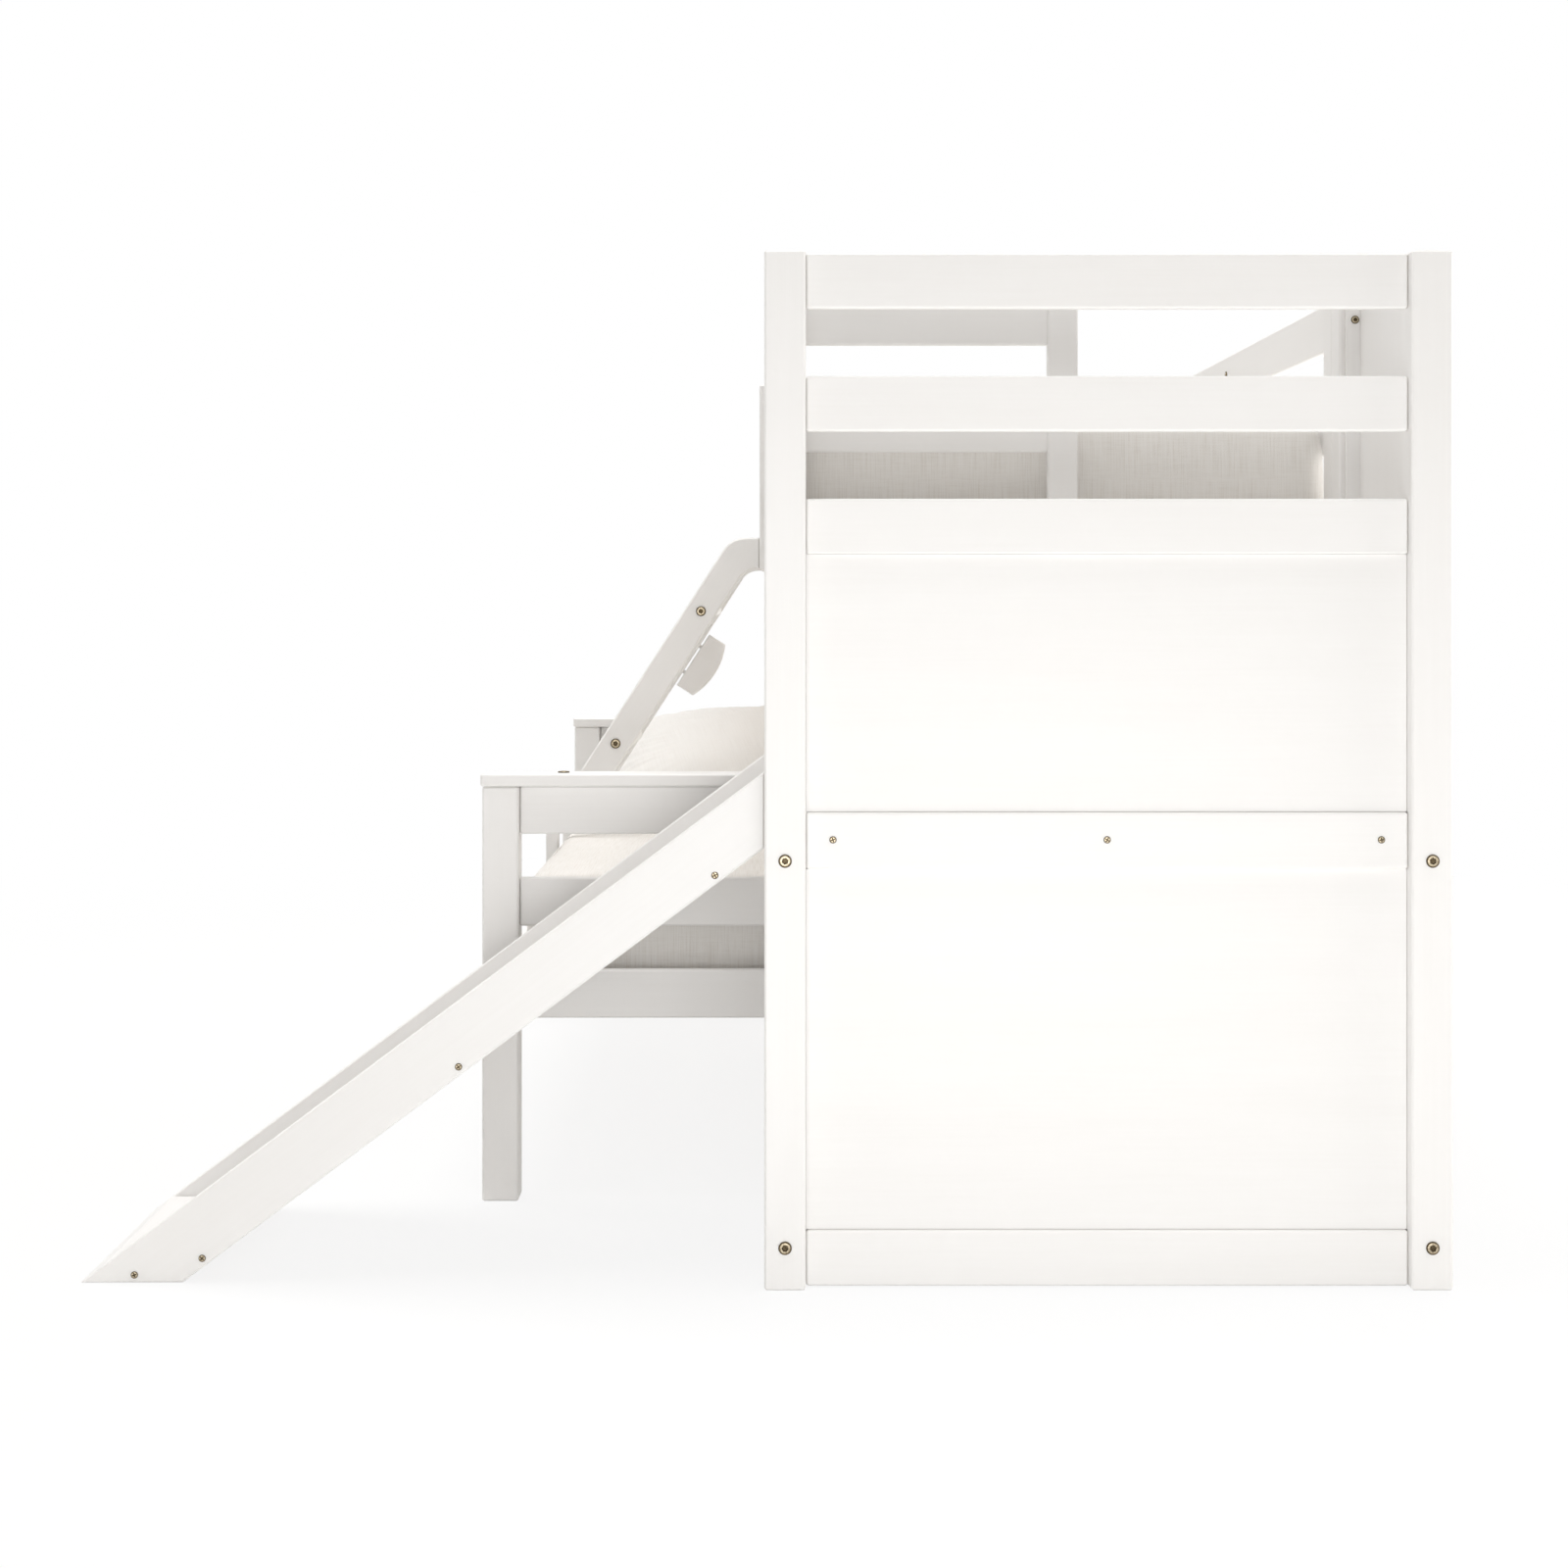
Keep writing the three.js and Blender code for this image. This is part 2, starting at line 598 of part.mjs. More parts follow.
function stringerOutline() {
  const footZ = fullSlatTop + fit;
  const notchZ = lowerMattressTop + footClear;
  const bendSteps = 6;
  const outerCorner = roundedCorner(
    [footX, footTopZ], [outerX(armTopZ), armTopZ], [armEndX, armTopZ], outerBend, bendSteps);
  const innerCorner = roundedCorner(
    [armEndX, armBottomZ], [innerX(armBottomZ), armBottomZ], [innerX(notchZ), notchZ], innerBend, bendSteps);
  return [
    [footX, footZ], [footX, footTopZ], ...outerCorner, [armEndX, armTopZ], [armEndX, armBottomZ],
    ...innerCorner, [innerX(notchZ), notchZ], [footX + footWidth, notchZ], [footX + footWidth, footZ],
  ].reverse();
}

function ladder() {
  const nearStringerY = span(ladderY - ladderWidth / 2, stringerThickness);
  const farStringerY = [ladderY + ladderWidth / 2 - stringerThickness, ladderY + ladderWidth / 2];
  const outline = stringerOutline();
  put("ladder_near_stringer", profileGeometry(outline, nearStringerY), paint());
  put("ladder_far_stringer", profileGeometry(outline, farStringerY), paint());
  const treadY = between(nearStringerY[1], farStringerY[0]);
  treadShares.forEach((share, i) => {
    const z = footTopZ + share * (armTopZ - footTopZ);
    const treadX = span((outerX(z) + innerX(z) - treadDepth) / 2, treadDepth);
    board(`ladder_tread_${i + 1}`, treadX, treadY, span(z - treadThickness / 2, treadThickness));
  });
  curvedBlock(farStringerY);
}

// A block with a bowed back, held off the far stringer by two pins.
function curvedBlock(stringerY) {
  const chord = blockLength / 2;
  const rise = blockMiddle - blockEnd;
  const radius = (chord * chord + rise * rise) / (2 * rise);
  const steps = 10;
  const outline = [onStringer(blockStart, blockStandoff)];
  for (let i = 0; i <= steps; i += 1) {
    const along = chord * ((2 * i) / steps - 1);
    const bow = Math.sqrt(radius * radius - along * along) - (radius - rise);
    outline.push(onStringer(blockStart + chord + along, blockStandoff + blockEnd + bow));
  }
  outline.push(onStringer(blockStart + blockLength, blockStandoff));
  const middleY = (stringerY[0] + stringerY[1]) / 2;
  const blockY = span(middleY - blockThickness / 2, blockThickness);
  const pieces = [profileGeometry(outline.reverse(), blockY)];
  const turn = new THREE.Quaternion().setFromUnitVectors(
    new THREE.Vector3(0, 1, 0), new THREE.Vector3(outward[0], 0, outward[1]));
  const pinLength = blockStandoff - fit + 2 * ease;
  for (const share of [1 / 4, 3 / 4]) {
    const [x, z] = onStringer(blockStart + blockLength * share, fit + pinLength / 2);
    const pin = new THREE.CylinderGeometry(pinDiameter / 2, pinDiameter / 2, pinLength, 12);
    pieces.push(pin.applyQuaternion(turn).translate(x, middleY, z));
  }
  put("ladder_curved_block", glued(pieces), paint());
}

// Mattresses: rings round a rounded rectangle, stacked from the underside to the crown
function mattressRing(xs, ys, inset, z) {
  const half = [(xs[1] - xs[0]) / 2 - inset, (ys[1] - ys[0]) / 2 - inset];
  const middle = [(xs[0] + xs[1]) / 2, (ys[0] + ys[1]) / 2];
  const corner = (mattressCorner * half[0]) / (half[0] + inset);
  const steps = 6;
  const ring = [];
  [[1, 1], [-1, 1], [-1, -1], [1, -1]].forEach(([sideX, sideY], quarter) => {
    for (let i = 0; i <= steps; i += 1) {
      const angle = ((quarter + i / steps) * Math.PI) / 2;
      const x = middle[0] + sideX * (half[0] - corner) + corner * Math.cos(angle);
      const y = middle[1] + sideY * (half[1] - corner) + corner * Math.sin(angle);
      ring.push([x, y, z]);
    }
  });
  return ring;
}

function stackedRings(rings) {
  const size = rings[0].length;
  const positions = rings.flat(2);
  const index = [];
  for (let r = 0; r < rings.length - 1; r += 1) {
    for (let i = 0; i < size; i += 1) {
      const next = (i + 1) % size;
      const [a, b] = [r * size + i, r * size + next];
      index.push(a, b, b + size, a, b + size, a + size);
    }
  }
  const centreOf = (ring) => [0, 1, 2].map((k) => ring.reduce((sum, p) => sum + p[k], 0) / size);
  positions.push(...centreOf(rings[0]), ...centreOf(rings[rings.length - 1]));
  const last = (rings.length - 1) * size;
  const [bottom, top] = [rings.length * size, rings.length * size + 1];
  for (let i = 0; i < size; i += 1) {
    const next = (i + 1) % size;
    index.push(bottom, next, i, top, last + i, last + next);
  }
  const geometry = new THREE.BufferGeometry();
  geometry.setAttribute("position", new THREE.BufferAttribute(new Float32Array(positions), 3));
  geometry.setIndex(index);
  geometry.computeVertexNormals();
  return geometry;
}

// Height of the crown over the top seam, by the share of the way in to the middle.
const crownRise = (share) => mattressCrown * Math.sin((share * Math.PI) / 2);

function mattressGeometry(xs, ys, base) {
  const top = base + mattressHeight;
  const reach = (xs[1] - xs[0]) / 2;
  const rings = [mattressRing(xs, ys, piping, base)];
  rings.push(mattressRing(xs, ys, 0, base + piping));
  const sideSteps = 6;
  for (let i = 0; i <= sideSteps; i += 1) {
    const share = i / sideSteps;
    const inset = piping / 2 + mattressDraw * Math.sin(Math.PI * share);
    rings.push(mattressRing(xs, ys, inset, base + 2 * piping + share * (mattressHeight - 4 * piping)));
  }
  rings.push(mattressRing(xs, ys, 0, top - piping));
  rings.push(mattressRing(xs, ys, piping, top));
  for (const share of [1 / 8, 1 / 4, 1 / 2, 3 / 4]) {
    rings.push(mattressRing(xs, ys, piping + share * (reach - piping), top + crownRise(share)));
  }
  return stackedRings(rings);
}

const mattressWallSide = wallBoardX[0] - mattressWallGap;
const fullXs = [fullRailX[1] + fit + footWidth + mattressSideGap, mattressWallSide];
const twinXs = [twinRailX[1] + mattressSideGap, mattressWallSide];

function mattresses() {
  const ys = [bunkInnerY[0] + mattressEndGap, bunkInnerY[1] - mattressEndGap];
  put("lower_mattress", mattressGeometry(fullXs, ys, fullSlatTop + fit), linen());
  put("upper_mattress", mattressGeometry(twinXs, ys, twinSlatTop + fit), linen());
}

// A pillow is two bulged sheets that meet in one seam round a rounded outline.
function pillowGeometry() {
  const segments = 40;
  const rings = 10;
  const seam = Array.from({ length: segments }, (_, i) => {
    const angle = (2 * Math.PI * i) / segments;
    const rounded = (c) => Math.sign(c) * Math.abs(c) ** (2 / pillowRoundness);
    const [u, v] = [rounded(Math.cos(angle)), rounded(Math.sin(angle))];
    return [
      u * (pillowWidth / 2 - pillowDraw * (1 - v * v)),
      v * (pillowDepth / 2 - pillowDraw * (1 - u * u)),
    ];
  });
  const at = (ring, i, side) => {
    const share = ring / rings;
    const [x, y] = seam[i % segments];
    const z = (side * pillowHeight * (1 - share * share) ** pillowFullnessShare) / 2;
    return [x * share, y * share, z];
  };
  const positions = [];
  const triangle = (a, b, c, side) => positions.push(...a, ...(side > 0 ? b : c), ...(side > 0 ? c : b));
  for (const side of [1, -1]) {
    for (let i = 0; i < segments; i += 1) {
      triangle(at(0, i, side), at(1, i, side), at(1, i + 1, side), side);
      for (let ring = 1; ring < rings; ring += 1) {
        const [a, b] = [at(ring, i, side), at(ring + 1, i, side)];
        const [c, d] = [at(ring + 1, i + 1, side), at(ring, i + 1, side)];
        triangle(a, b, c, side);
        triangle(a, c, d, side);
      }
    }
  }
  const geometry = new THREE.BufferGeometry();
  geometry.setAttribute("position", new THREE.BufferAttribute(new Float32Array(positions), 3));
  return mergeVertices(geometry);
}

// Turns a pillow, leans it back, lays it on the lower mattress and puts its rear edge at y.
function layPillow(name, { turn, lean, inset, y }) {
  const geometry = pillowGeometry().rotateZ(turn).rotateX(lean);
  geometry.computeBoundingBox();
  const { min, max } = geometry.boundingBox;
  const crownShare = (2 * inset + pillowWidth) / (fullXs[1] - fullXs[0]);
  const base = lowerMattressTop + crownRise(crownShare) + fit;
  geometry.translate(fullXs[0] + inset - min.x, y - max.y, base - min.z);
  geometry.computeVertexNormals();
  put(name, geometry, cotton());
}

function pillows() {
  const rear = farY - post - capOverhang - fit;
  layPillow("back_pillow", { turn: 0, lean: backPillowLean, inset: backPillowInset, y: rear });
  layPillow("front_pillow", {
    turn: frontPillowTurn, lean: frontPillowLean, inset: frontPillowInset, y: rear - pillowPitch,
  });
}

towerPosts();
towerFront();
towerSides();
towerWallPanel();
landingDeck();
landingSteps();
slideSides();
slideBed();
slideCrossbars();
bunkPosts("near", span(bunkY, post));
bunkPosts("far", [farY - post, farY]);
nearLowerEnd();
farLowerEnd();
nearUpperEnd();
farUpperEnd();
sideRails();
ladderSideGuard("ladder_side_near_guard", -1);
ladderSideGuard("ladder_side_far_guard", 1);
wallGuard();
bedBases();
centreBeam();
ladder();
mattresses();
pillows();

const slideTipX = slideLineX(0, slideSideHeight);
bed.position.set(-(slideTipX + wallX) / 2, -farY / 2, 0);

export default bed;
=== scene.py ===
"""Looks of the bunk bed with landing tower and slide: materials, fasteners, bedding, stage and camera."""

import math

import bmesh
import bpy
from mathutils import Matrix, Vector, noise
from mathutils.bvhtree import BVHTree


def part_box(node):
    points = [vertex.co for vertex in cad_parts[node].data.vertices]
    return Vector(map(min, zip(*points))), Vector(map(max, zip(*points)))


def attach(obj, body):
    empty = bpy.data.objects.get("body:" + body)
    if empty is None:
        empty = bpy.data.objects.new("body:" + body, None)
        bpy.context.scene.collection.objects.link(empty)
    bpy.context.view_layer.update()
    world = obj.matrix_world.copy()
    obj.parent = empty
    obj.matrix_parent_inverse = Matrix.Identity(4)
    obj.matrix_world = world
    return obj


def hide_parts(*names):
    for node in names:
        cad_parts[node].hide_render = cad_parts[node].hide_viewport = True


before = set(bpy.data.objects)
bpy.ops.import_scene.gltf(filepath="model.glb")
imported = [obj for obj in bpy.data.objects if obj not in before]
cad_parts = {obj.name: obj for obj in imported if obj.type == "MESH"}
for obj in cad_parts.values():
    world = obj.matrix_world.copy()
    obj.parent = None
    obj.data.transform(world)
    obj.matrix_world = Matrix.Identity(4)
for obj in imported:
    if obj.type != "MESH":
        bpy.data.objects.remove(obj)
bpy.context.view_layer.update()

MM = 0.001
FRAME_BODY = "bed_frame"
SLIDE_ANGLE = math.radians(36.75)
LADDER_ANGLE = math.radians(57.2)


# Node trees


FLAT_COSINE, EDGE_COSINE = 0.995, 0.86    # between the rounded and the plain normal
OPEN_SHARE, CLOSED_SHARE = 0.75, 0.2      # of the sky that a point sees


class Tree:
    """Builds one material's node tree."""

    def __init__(self, name):
        self.material = bpy.data.materials.new(name)
        self.material.use_nodes = True
        self.nodes = self.material.node_tree.nodes
        self.links = self.material.node_tree.links
        self.shader = self.nodes["Principled BSDF"]

    def feed(self, socket, value):
        if isinstance(value, bpy.types.NodeSocket):
            self.links.new(value, socket)
        else:
            socket.default_value = value

    def add(self, kind, inputs=(), **settings):
        node = self.nodes.new(kind)
        for key, value in settings.items():
            setattr(node, key, value)
        for key, value in dict(inputs).items():
            self.feed(node.inputs[key], value)
        return node

    def math(self, operation, a, b=0.0):
        return self.add("ShaderNodeMath", {0: a, 1: b}, operation=operation).outputs[0]

    def scaled(self, value, factor):
        return self.math("MULTIPLY", value, factor)

    def mixed(self, a, share_a, b, share_b):
        """The sum of a and b, each times its share."""
        return self.math("ADD", self.scaled(a, share_a), self.scaled(b, share_b))

    def vector(self, operation, a, b=(0, 0, 0)):
        return self.add("ShaderNodeVectorMath", {0: a, 1: b}, operation=operation).outputs[0]

    def split(self, value):
        return self.add("ShaderNodeSeparateXYZ", {0: value}).outputs

    def join(self, x, y, z=0.0):
        return self.add("ShaderNodeCombineXYZ", {0: x, 1: y, 2: z}).outputs[0]

    def place(self):
        return self.add("ShaderNodeTexCoord").outputs["Object"]

    def stretched(self, place, sizes, rotation=(0, 0, 0)):
        """Coordinates in which one unit is `sizes` metres along the turned axes."""
        return self.add(
            "ShaderNodeMapping",
            {"Vector": place, "Rotation": rotation, "Scale": sizes},
            vector_type="TEXTURE",
        ).outputs[0]

    def noise(self, place, scale=1.0, detail=2.0, roughness=0.5):
        return self.add(
            "ShaderNodeTexNoise",
            {"Vector": place, "Scale": scale, "Detail": detail, "Roughness": roughness},
        ).outputs["Fac"]

    def range(self, value, low, high, to_low=0.0, to_high=1.0):
        return self.add(
            "ShaderNodeMapRange", {0: value, 1: low, 2: high, 3: to_low, 4: to_high}
        ).outputs[0]

    def ramp(self, value, stops):
        node = self.add("ShaderNodeValToRGB", {"Fac": value})
        elements = node.color_ramp.elements
        while len(elements) < len(stops):
            elements.new(0.5)
        for element, (position, colour) in zip(elements, stops):
            element.position = position
            element.color = (*colour, 1)
        return node.outputs["Color"]

    def blend(self, factor, a, b):
        return self.add("ShaderNodeMix", {0: factor, 6: a, 7: b}, data_type="RGBA").outputs[2]

    def bump(self, height, distance, strength=1.0, normal=None):
        inputs = {"Height": height, "Distance": distance, "Strength": strength}
        if normal is not None:
            inputs["Normal"] = normal
        return self.add("ShaderNodeBump", inputs).outputs[0]

    def edges(self, radius):
        """1 along the edges within radius, 0 on the flats."""
        rounded = self.add("ShaderNodeBevel", {"Radius": radius}, samples=4).outputs[0]
        flat = self.add("ShaderNodeNewGeometry").outputs["Normal"]
        dot = self.add("ShaderNodeVectorMath", {0: rounded, 1: flat}, operation="DOT_PRODUCT")
        return self.range(dot.outputs["Value"], FLAT_COSINE, EDGE_COSINE)

    def crevices(self, distance):
        """1 deep in joints and corners, 0 in the open."""
        open_share = self.add("ShaderNodeAmbientOcclusion", {"Distance": distance}, samples=6)
        return self.range(open_share.outputs["AO"], OPEN_SHARE, CLOSED_SHARE)

    def finish(self, **inputs):
        for key, value in inputs.items():
            self.feed(self.shader.inputs[key.replace("_", " ")], value)
        return self.material


PAINT_LIGHT = (0.901, 0.893, 0.884)
PAINT_DEEP = (0.883, 0.873, 0.861)
PAINT_EDGE_HIGHLIGHT = (0.922, 0.914, 0.902)
PAINT_JOINT_SHADE = (0.640, 0.600, 0.550)

LINEN = [(0.80, 0.770, 0.728), (0.888, 0.868, 0.838), (0.932, 0.917, 0.893)]
COTTON = [(0.855, 0.840, 0.816), (0.892, 0.880, 0.860), (0.915, 0.905, 0.887)]

PINE_LIGHT = (0.640, 0.470, 0.270)
PINE_MIDDLE = (0.560, 0.385, 0.205)
PINE_DEEP = (0.400, 0.245, 0.115)
PINE_SHADE = (0.16, 0.10, 0.05)

GRAIN = {
    "x": (0, 0, 0),
    "y": (0, 0, math.pi / 2),
    "z": (0, -math.pi / 2, 0),
    "slide": (0, -SLIDE_ANGLE, 0),
    "ladder": (0, -LADDER_ANGLE, 0),
}


def painted_wood(direction):
    """White paint over pine: a little of the grain telegraphs through, the edges are paler in patches as a
    painted highlight, and joints and corners darker as painted shade.
    """
    fibre_size, cloud_size = (0.22, 0.0045, 0.0045), (0.6, 0.07, 0.07)
    highlight_width, joint_shade_width, relief = 0.0022, 0.003, 0.00035
    t = Tree(f"white_paint_{direction}")
    place = t.place()
    fibre = t.noise(t.stretched(place, fibre_size, GRAIN[direction]), detail=4, roughness=0.62)
    cloud = t.noise(t.stretched(place, cloud_size, GRAIN[direction]), detail=2)
    peel = t.noise(place, scale=520, detail=2)
    body = t.ramp(t.mixed(fibre, 0.45, cloud, 0.55), [(0.36, PAINT_DEEP), (0.62, PAINT_LIGHT)])
    patchy = t.range(t.noise(place, scale=55, detail=3), 0.35, 0.65, 0.25, 1)
    # Painted highlight: paler along the edges, in patches.
    edge = t.math("MULTIPLY", t.edges(highlight_width), patchy)
    highlighted = t.blend(edge, body, (*PAINT_EDGE_HIGHLIGHT, 1))
    # Painted shade: darker deep in joints and corners, where the occlusion mask is high.
    colour = t.blend(t.scaled(t.crevices(joint_shade_width), 0.4), highlighted, (*PAINT_JOINT_SHADE, 1))
    gloss = t.math("ADD", t.range(fibre, 0.3, 0.7, 0.36, 0.46), t.scaled(edge, 0.06))
    height = t.mixed(fibre, 0.7, peel, 0.3)
    return t.finish(Base_Color=colour, Roughness=gloss, Normal=t.bump(height, relief, 0.55))


def bare_pine(direction):
    """Unpainted pine: annual bands, fine pores and a few darker streaks."""
    bend_size, pore_size = (0.5, 0.09, 0.09), (0.03, 0.0011, 0.0011)
    rings_per_metre, bend_strength = 780, 26
    shade_width, relief = 0.008, 0.0004
    t = Tree(f"bare_pine_{direction}")
    place = t.stretched(t.place(), (1, 1, 1), GRAIN[direction])
    bent = t.noise(t.stretched(place, bend_size), detail=2)
    _, across, through = t.split(place)
    radial = t.math("ADD", across, t.scaled(through, 0.6))
    ring = t.math("SINE", t.mixed(radial, rings_per_metre, bent, bend_strength))
    band = t.math("POWER", t.range(ring, -1, 1), 2.2)
    pores = t.noise(t.stretched(place, pore_size), detail=3, roughness=0.7)
    tone = t.mixed(band, 0.42, pores, 0.42)
    body = t.ramp(tone, [(0.1, PINE_LIGHT), (0.42, PINE_MIDDLE), (0.85, PINE_DEEP)])
    # Painted shade: darker deep in joints and corners, where the occlusion mask is high.
    colour = t.blend(t.scaled(t.crevices(shade_width), 0.6), body, (*PINE_SHADE, 1))
    return t.finish(
        Base_Color=colour,
        Roughness=t.range(tone, 0.1, 0.9, 0.62, 0.8),
        Normal=t.bump(t.mixed(pores, 0.7, band, 0.3), relief, 0.8),
    )


def fabric(name, tones, upright, pitch, shade):
    """A plain weave with slubs. Upright, its threads follow each face of a box; else they lie in x and y.

    Pitch is the weave's, and shade is how near a surface must be to darken the cloth.
    """
    warp_size, weft_size, relief = (0.0022, 0.085), (0.0021, 0.040), 0.0008
    warp_seed, weft_seed = 0.0, 7.3
    shaded = (*[tone * 0.45 for tone in tones[0]], 1)
    t = Tree(name)
    coordinates = t.add("ShaderNodeTexCoord").outputs
    x, y, z = t.split(coordinates["Object"])
    if upright:
        nx, _, nz = t.split(t.vector("ABSOLUTE", coordinates["Normal"]))
        side = t.math("GREATER_THAN", nx, 0.7)
        flat = t.math("GREATER_THAN", nz, 0.7)
        u = t.math("ADD", x, t.scaled(side, t.math("SUBTRACT", y, x)))
        v = t.math("ADD", z, t.scaled(flat, t.math("SUBTRACT", y, z)))
    else:
        u, v = x, y

    def threads(across, along, size, seed):
        place = t.join(t.math("DIVIDE", across, size[0]), t.math("DIVIDE", along, size[1]), seed)
        return t.noise(place, detail=2, roughness=0.6)

    warp = threads(u, v, warp_size, warp_seed)
    weft = threads(v, u, weft_size, weft_seed)
    cloud = t.noise(t.join(u, v), scale=14, detail=2)
    turn = 2 * math.pi / pitch
    over = t.math("MULTIPLY", t.math("SINE", t.scaled(u, turn)), t.math("SINE", t.scaled(v, turn)))
    slub = t.mixed(warp, 0.74, weft, 0.26)
    tone = t.math("ADD", slub, t.scaled(t.math("SUBTRACT", cloud, 0.5), 0.12))
    tone = t.math("ADD", tone, t.scaled(over, 0.015))
    body = t.ramp(tone, [(0.3, tones[0]), (0.5, tones[1]), (0.72, tones[2])])
    # Painted shade: the cloth darkens where another surface is near.
    colour = t.blend(t.scaled(t.crevices(shade), 0.5), body, shaded)
    height = t.math("ADD", t.scaled(over, 0.25), slub)
    return t.finish(
        Base_Color=colour,
        Roughness=t.range(slub, 0.3, 0.7, 0.82, 0.95),
        Normal=t.bump(height, relief, 0.7),
        Sheen_Weight=0.25,
        Sheen_Roughness=0.5,
    )


def plated_metal(name, tones, roughness):
    """Antique brass: darker patches, darker in the corners and fine rubbing."""
    corner_width, corner_colour, relief = 0.002, (0.05, 0.035, 0.018, 1), 0.00008
    t = Tree(name)
    place = t.place()
    patch = t.noise(place, scale=420, detail=3, roughness=0.6)
    body = t.ramp(patch, [(0.35, tones[0]), (0.62, tones[1])])
    # Darker in the corners, where the occlusion mask is high.
    colour = t.blend(t.scaled(t.crevices(corner_width), 0.8), body, corner_colour)
    rub = t.noise(place, scale=1600, detail=2)
    return t.finish(
        Base_Color=colour,
        Metallic=1.0,
        Roughness=t.range(patch, 0.3, 0.7, roughness, roughness + 0.16),
        Normal=t.bump(rub, relief, 0.5),
    )


# Wood from the frame


SOFT = ("lower_mattress", "upper_mattress", "back_pillow", "front_pillow")
CROSSBARS = tuple(f"slide_crossbar_{i}" for i in (1, 2, 3))
BARE = ("full_slats", "twin_slats", "full_centre_beam", *CROSSBARS)
SLOPING = {
    "slide_near_side": "slide",
    "slide_far_side": "slide",
    "slide_panel": "slide",
    "ladder_near_stringer": "ladder",
    "ladder_far_stringer": "ladder",
    "ladder_curved_block": "ladder",
}
# Nodes whose boards don't run along the node's longest side
ACROSS = {"full_slats": "x", "twin_slats": "x", "slide_exit_board": "y"}


def grain_of(node):
    """The way the grain runs: the node's longest side, unless a table above says otherwise."""
    low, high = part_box(node)
    size = high - low
    longest = "xyz"[max(range(3), key=lambda i: size[i])]
    return SLOPING.get(node) or ACROSS.get(node, longest)


def dress_wood():
    """Gives every rigid node its material and a fine rounded edge."""
    made = {}
    for name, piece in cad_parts.items():
        if name in SOFT:
            continue
        build = bare_pine if name in BARE else painted_wood
        key = (build, grain_of(name))
        if key not in made:
            made[key] = build(key[1])
        for slot in piece.material_slots:
            slot.material = made[key]
        weld = piece.modifiers.new("weld", "WELD")
        weld.merge_threshold = 0.02 * MM
        bevel = piece.modifiers.new("edges", "BEVEL")
        bevel.width = 0.6 * MM
        bevel.segments = 2
        bevel.limit_method = "ANGLE"
        bevel.angle_limit = math.radians(30)
        bevel.harden_normals = True


# Meshes


def new_piece(name, bm, material, body):
    mesh = bpy.data.meshes.new(name)
    bm.to_mesh(mesh)
    bm.free()
    mesh.shade_smooth()
    piece = bpy.data.objects.new(name, mesh)
    bpy.context.scene.collection.objects.link(piece)
    mesh.materials.append(material)
    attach(piece, body)
    return piece


HEAD_SIDES = 32
# The bright slot is a painted highlight on the dome, the dark slot painted shade on the rim and socket.
HIGHLIGHT_SLOT, SHADE_SLOT = 0, 1       # slots of a head's two metals
DOME_BANDS = (4, 5, 6)    # the bands between rings that make the bright dome


def circle(radius, count):
    """Points of a circle, or of a polygon with few of them."""
    angles = [2 * math.pi * i / count for i in range(count)]
    return [(radius * math.cos(a), radius * math.sin(a)) for a in angles]


def cross(arm, width):
    """Outline of a cross, from the right arm round against the clock."""
    a, w = arm, width / 2
    quarter = [(a, -w), (a, w), (w, w)]
    points = []
    for _ in range(4):
        points += quarter
        quarter = [(-y, x) for x, y in quarter]
    return points


def scaled(points, share):
    return [(x * share, y * share) for x, y in points]


def loop(bm, points, z, matrix=Matrix.Identity(4)):
    verts = [bm.verts.new(matrix @ Vector((x, y, z))) for x, y in points]
    return [bm.edges.new((verts[i], verts[(i + 1) % len(verts)])) for i in range(len(verts))]


def add_head(bm, matrix, radius, height, socket, depth):
    """A low head on the face at matrix's origin: a rim and a socket in the dome in the dark metal, as painted
    shade, and a dome in the bright metal, as a painted highlight.
    """
    step = 0.18 * height
    below_face = 0.2 * MM
    profile = [
        (1, -below_face),
        (1, height - 3 * step),
        (0.96, height - step),
        (0.87, height - 1.2 * step),
        (0.81, height - 1.8 * step),
        (0.75, height - 0.4 * step),
        (0.68, height),
    ]
    rings = [loop(bm, circle(radius * share, HEAD_SIDES), z, matrix) for share, z in profile]
    rings.append(loop(bm, scaled(socket, 1.08), height - 0.2 * step, matrix))
    rings.append(loop(bm, socket, height - 0.3 * depth, matrix))
    rings.append(loop(bm, scaled(socket, 0.9), height - depth, matrix))
    for i, (low, high) in enumerate(zip(rings, rings[1:])):
        for face in bmesh.ops.bridge_loops(bm, edges=low + high)["faces"]:
            face.material_index = HIGHLIGHT_SLOT if i in DOME_BANDS else SHADE_SLOT
    for face in bmesh.ops.contextual_create(bm, geom=rings[-1])["faces"]:
        face.material_index = SHADE_SLOT


def facing(direction):
    """A turn that points local +Z along direction."""
    return Vector(direction).to_track_quat("Z", "Y").to_matrix().to_4x4()


def heads(name, places, radius, height, socket, depth, metals):
    """One piece with a head at each place; each is turned a little further than the one before it."""
    first_turn, more_turn = 0.3, 0.7
    bm = bmesh.new()
    for i, (point, direction) in enumerate(places):
        turn = Matrix.Rotation(more_turn * i + first_turn, 4, "Z")
        matrix = Matrix.Translation(Vector(point)) @ facing(direction) @ turn
        add_head(bm, matrix, radius, height, socket, depth)
    bmesh.ops.recalc_face_normals(bm, faces=bm.faces)
    piece = new_piece(name, bm, metals[HIGHLIGHT_SLOT], FRAME_BODY)
    piece.data.materials.append(metals[SHADE_SLOT])
    piece.data.set_sharp_from_angle(angle=math.radians(35))


def middle(node):
    low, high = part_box(node)
    return (low + high) / 2


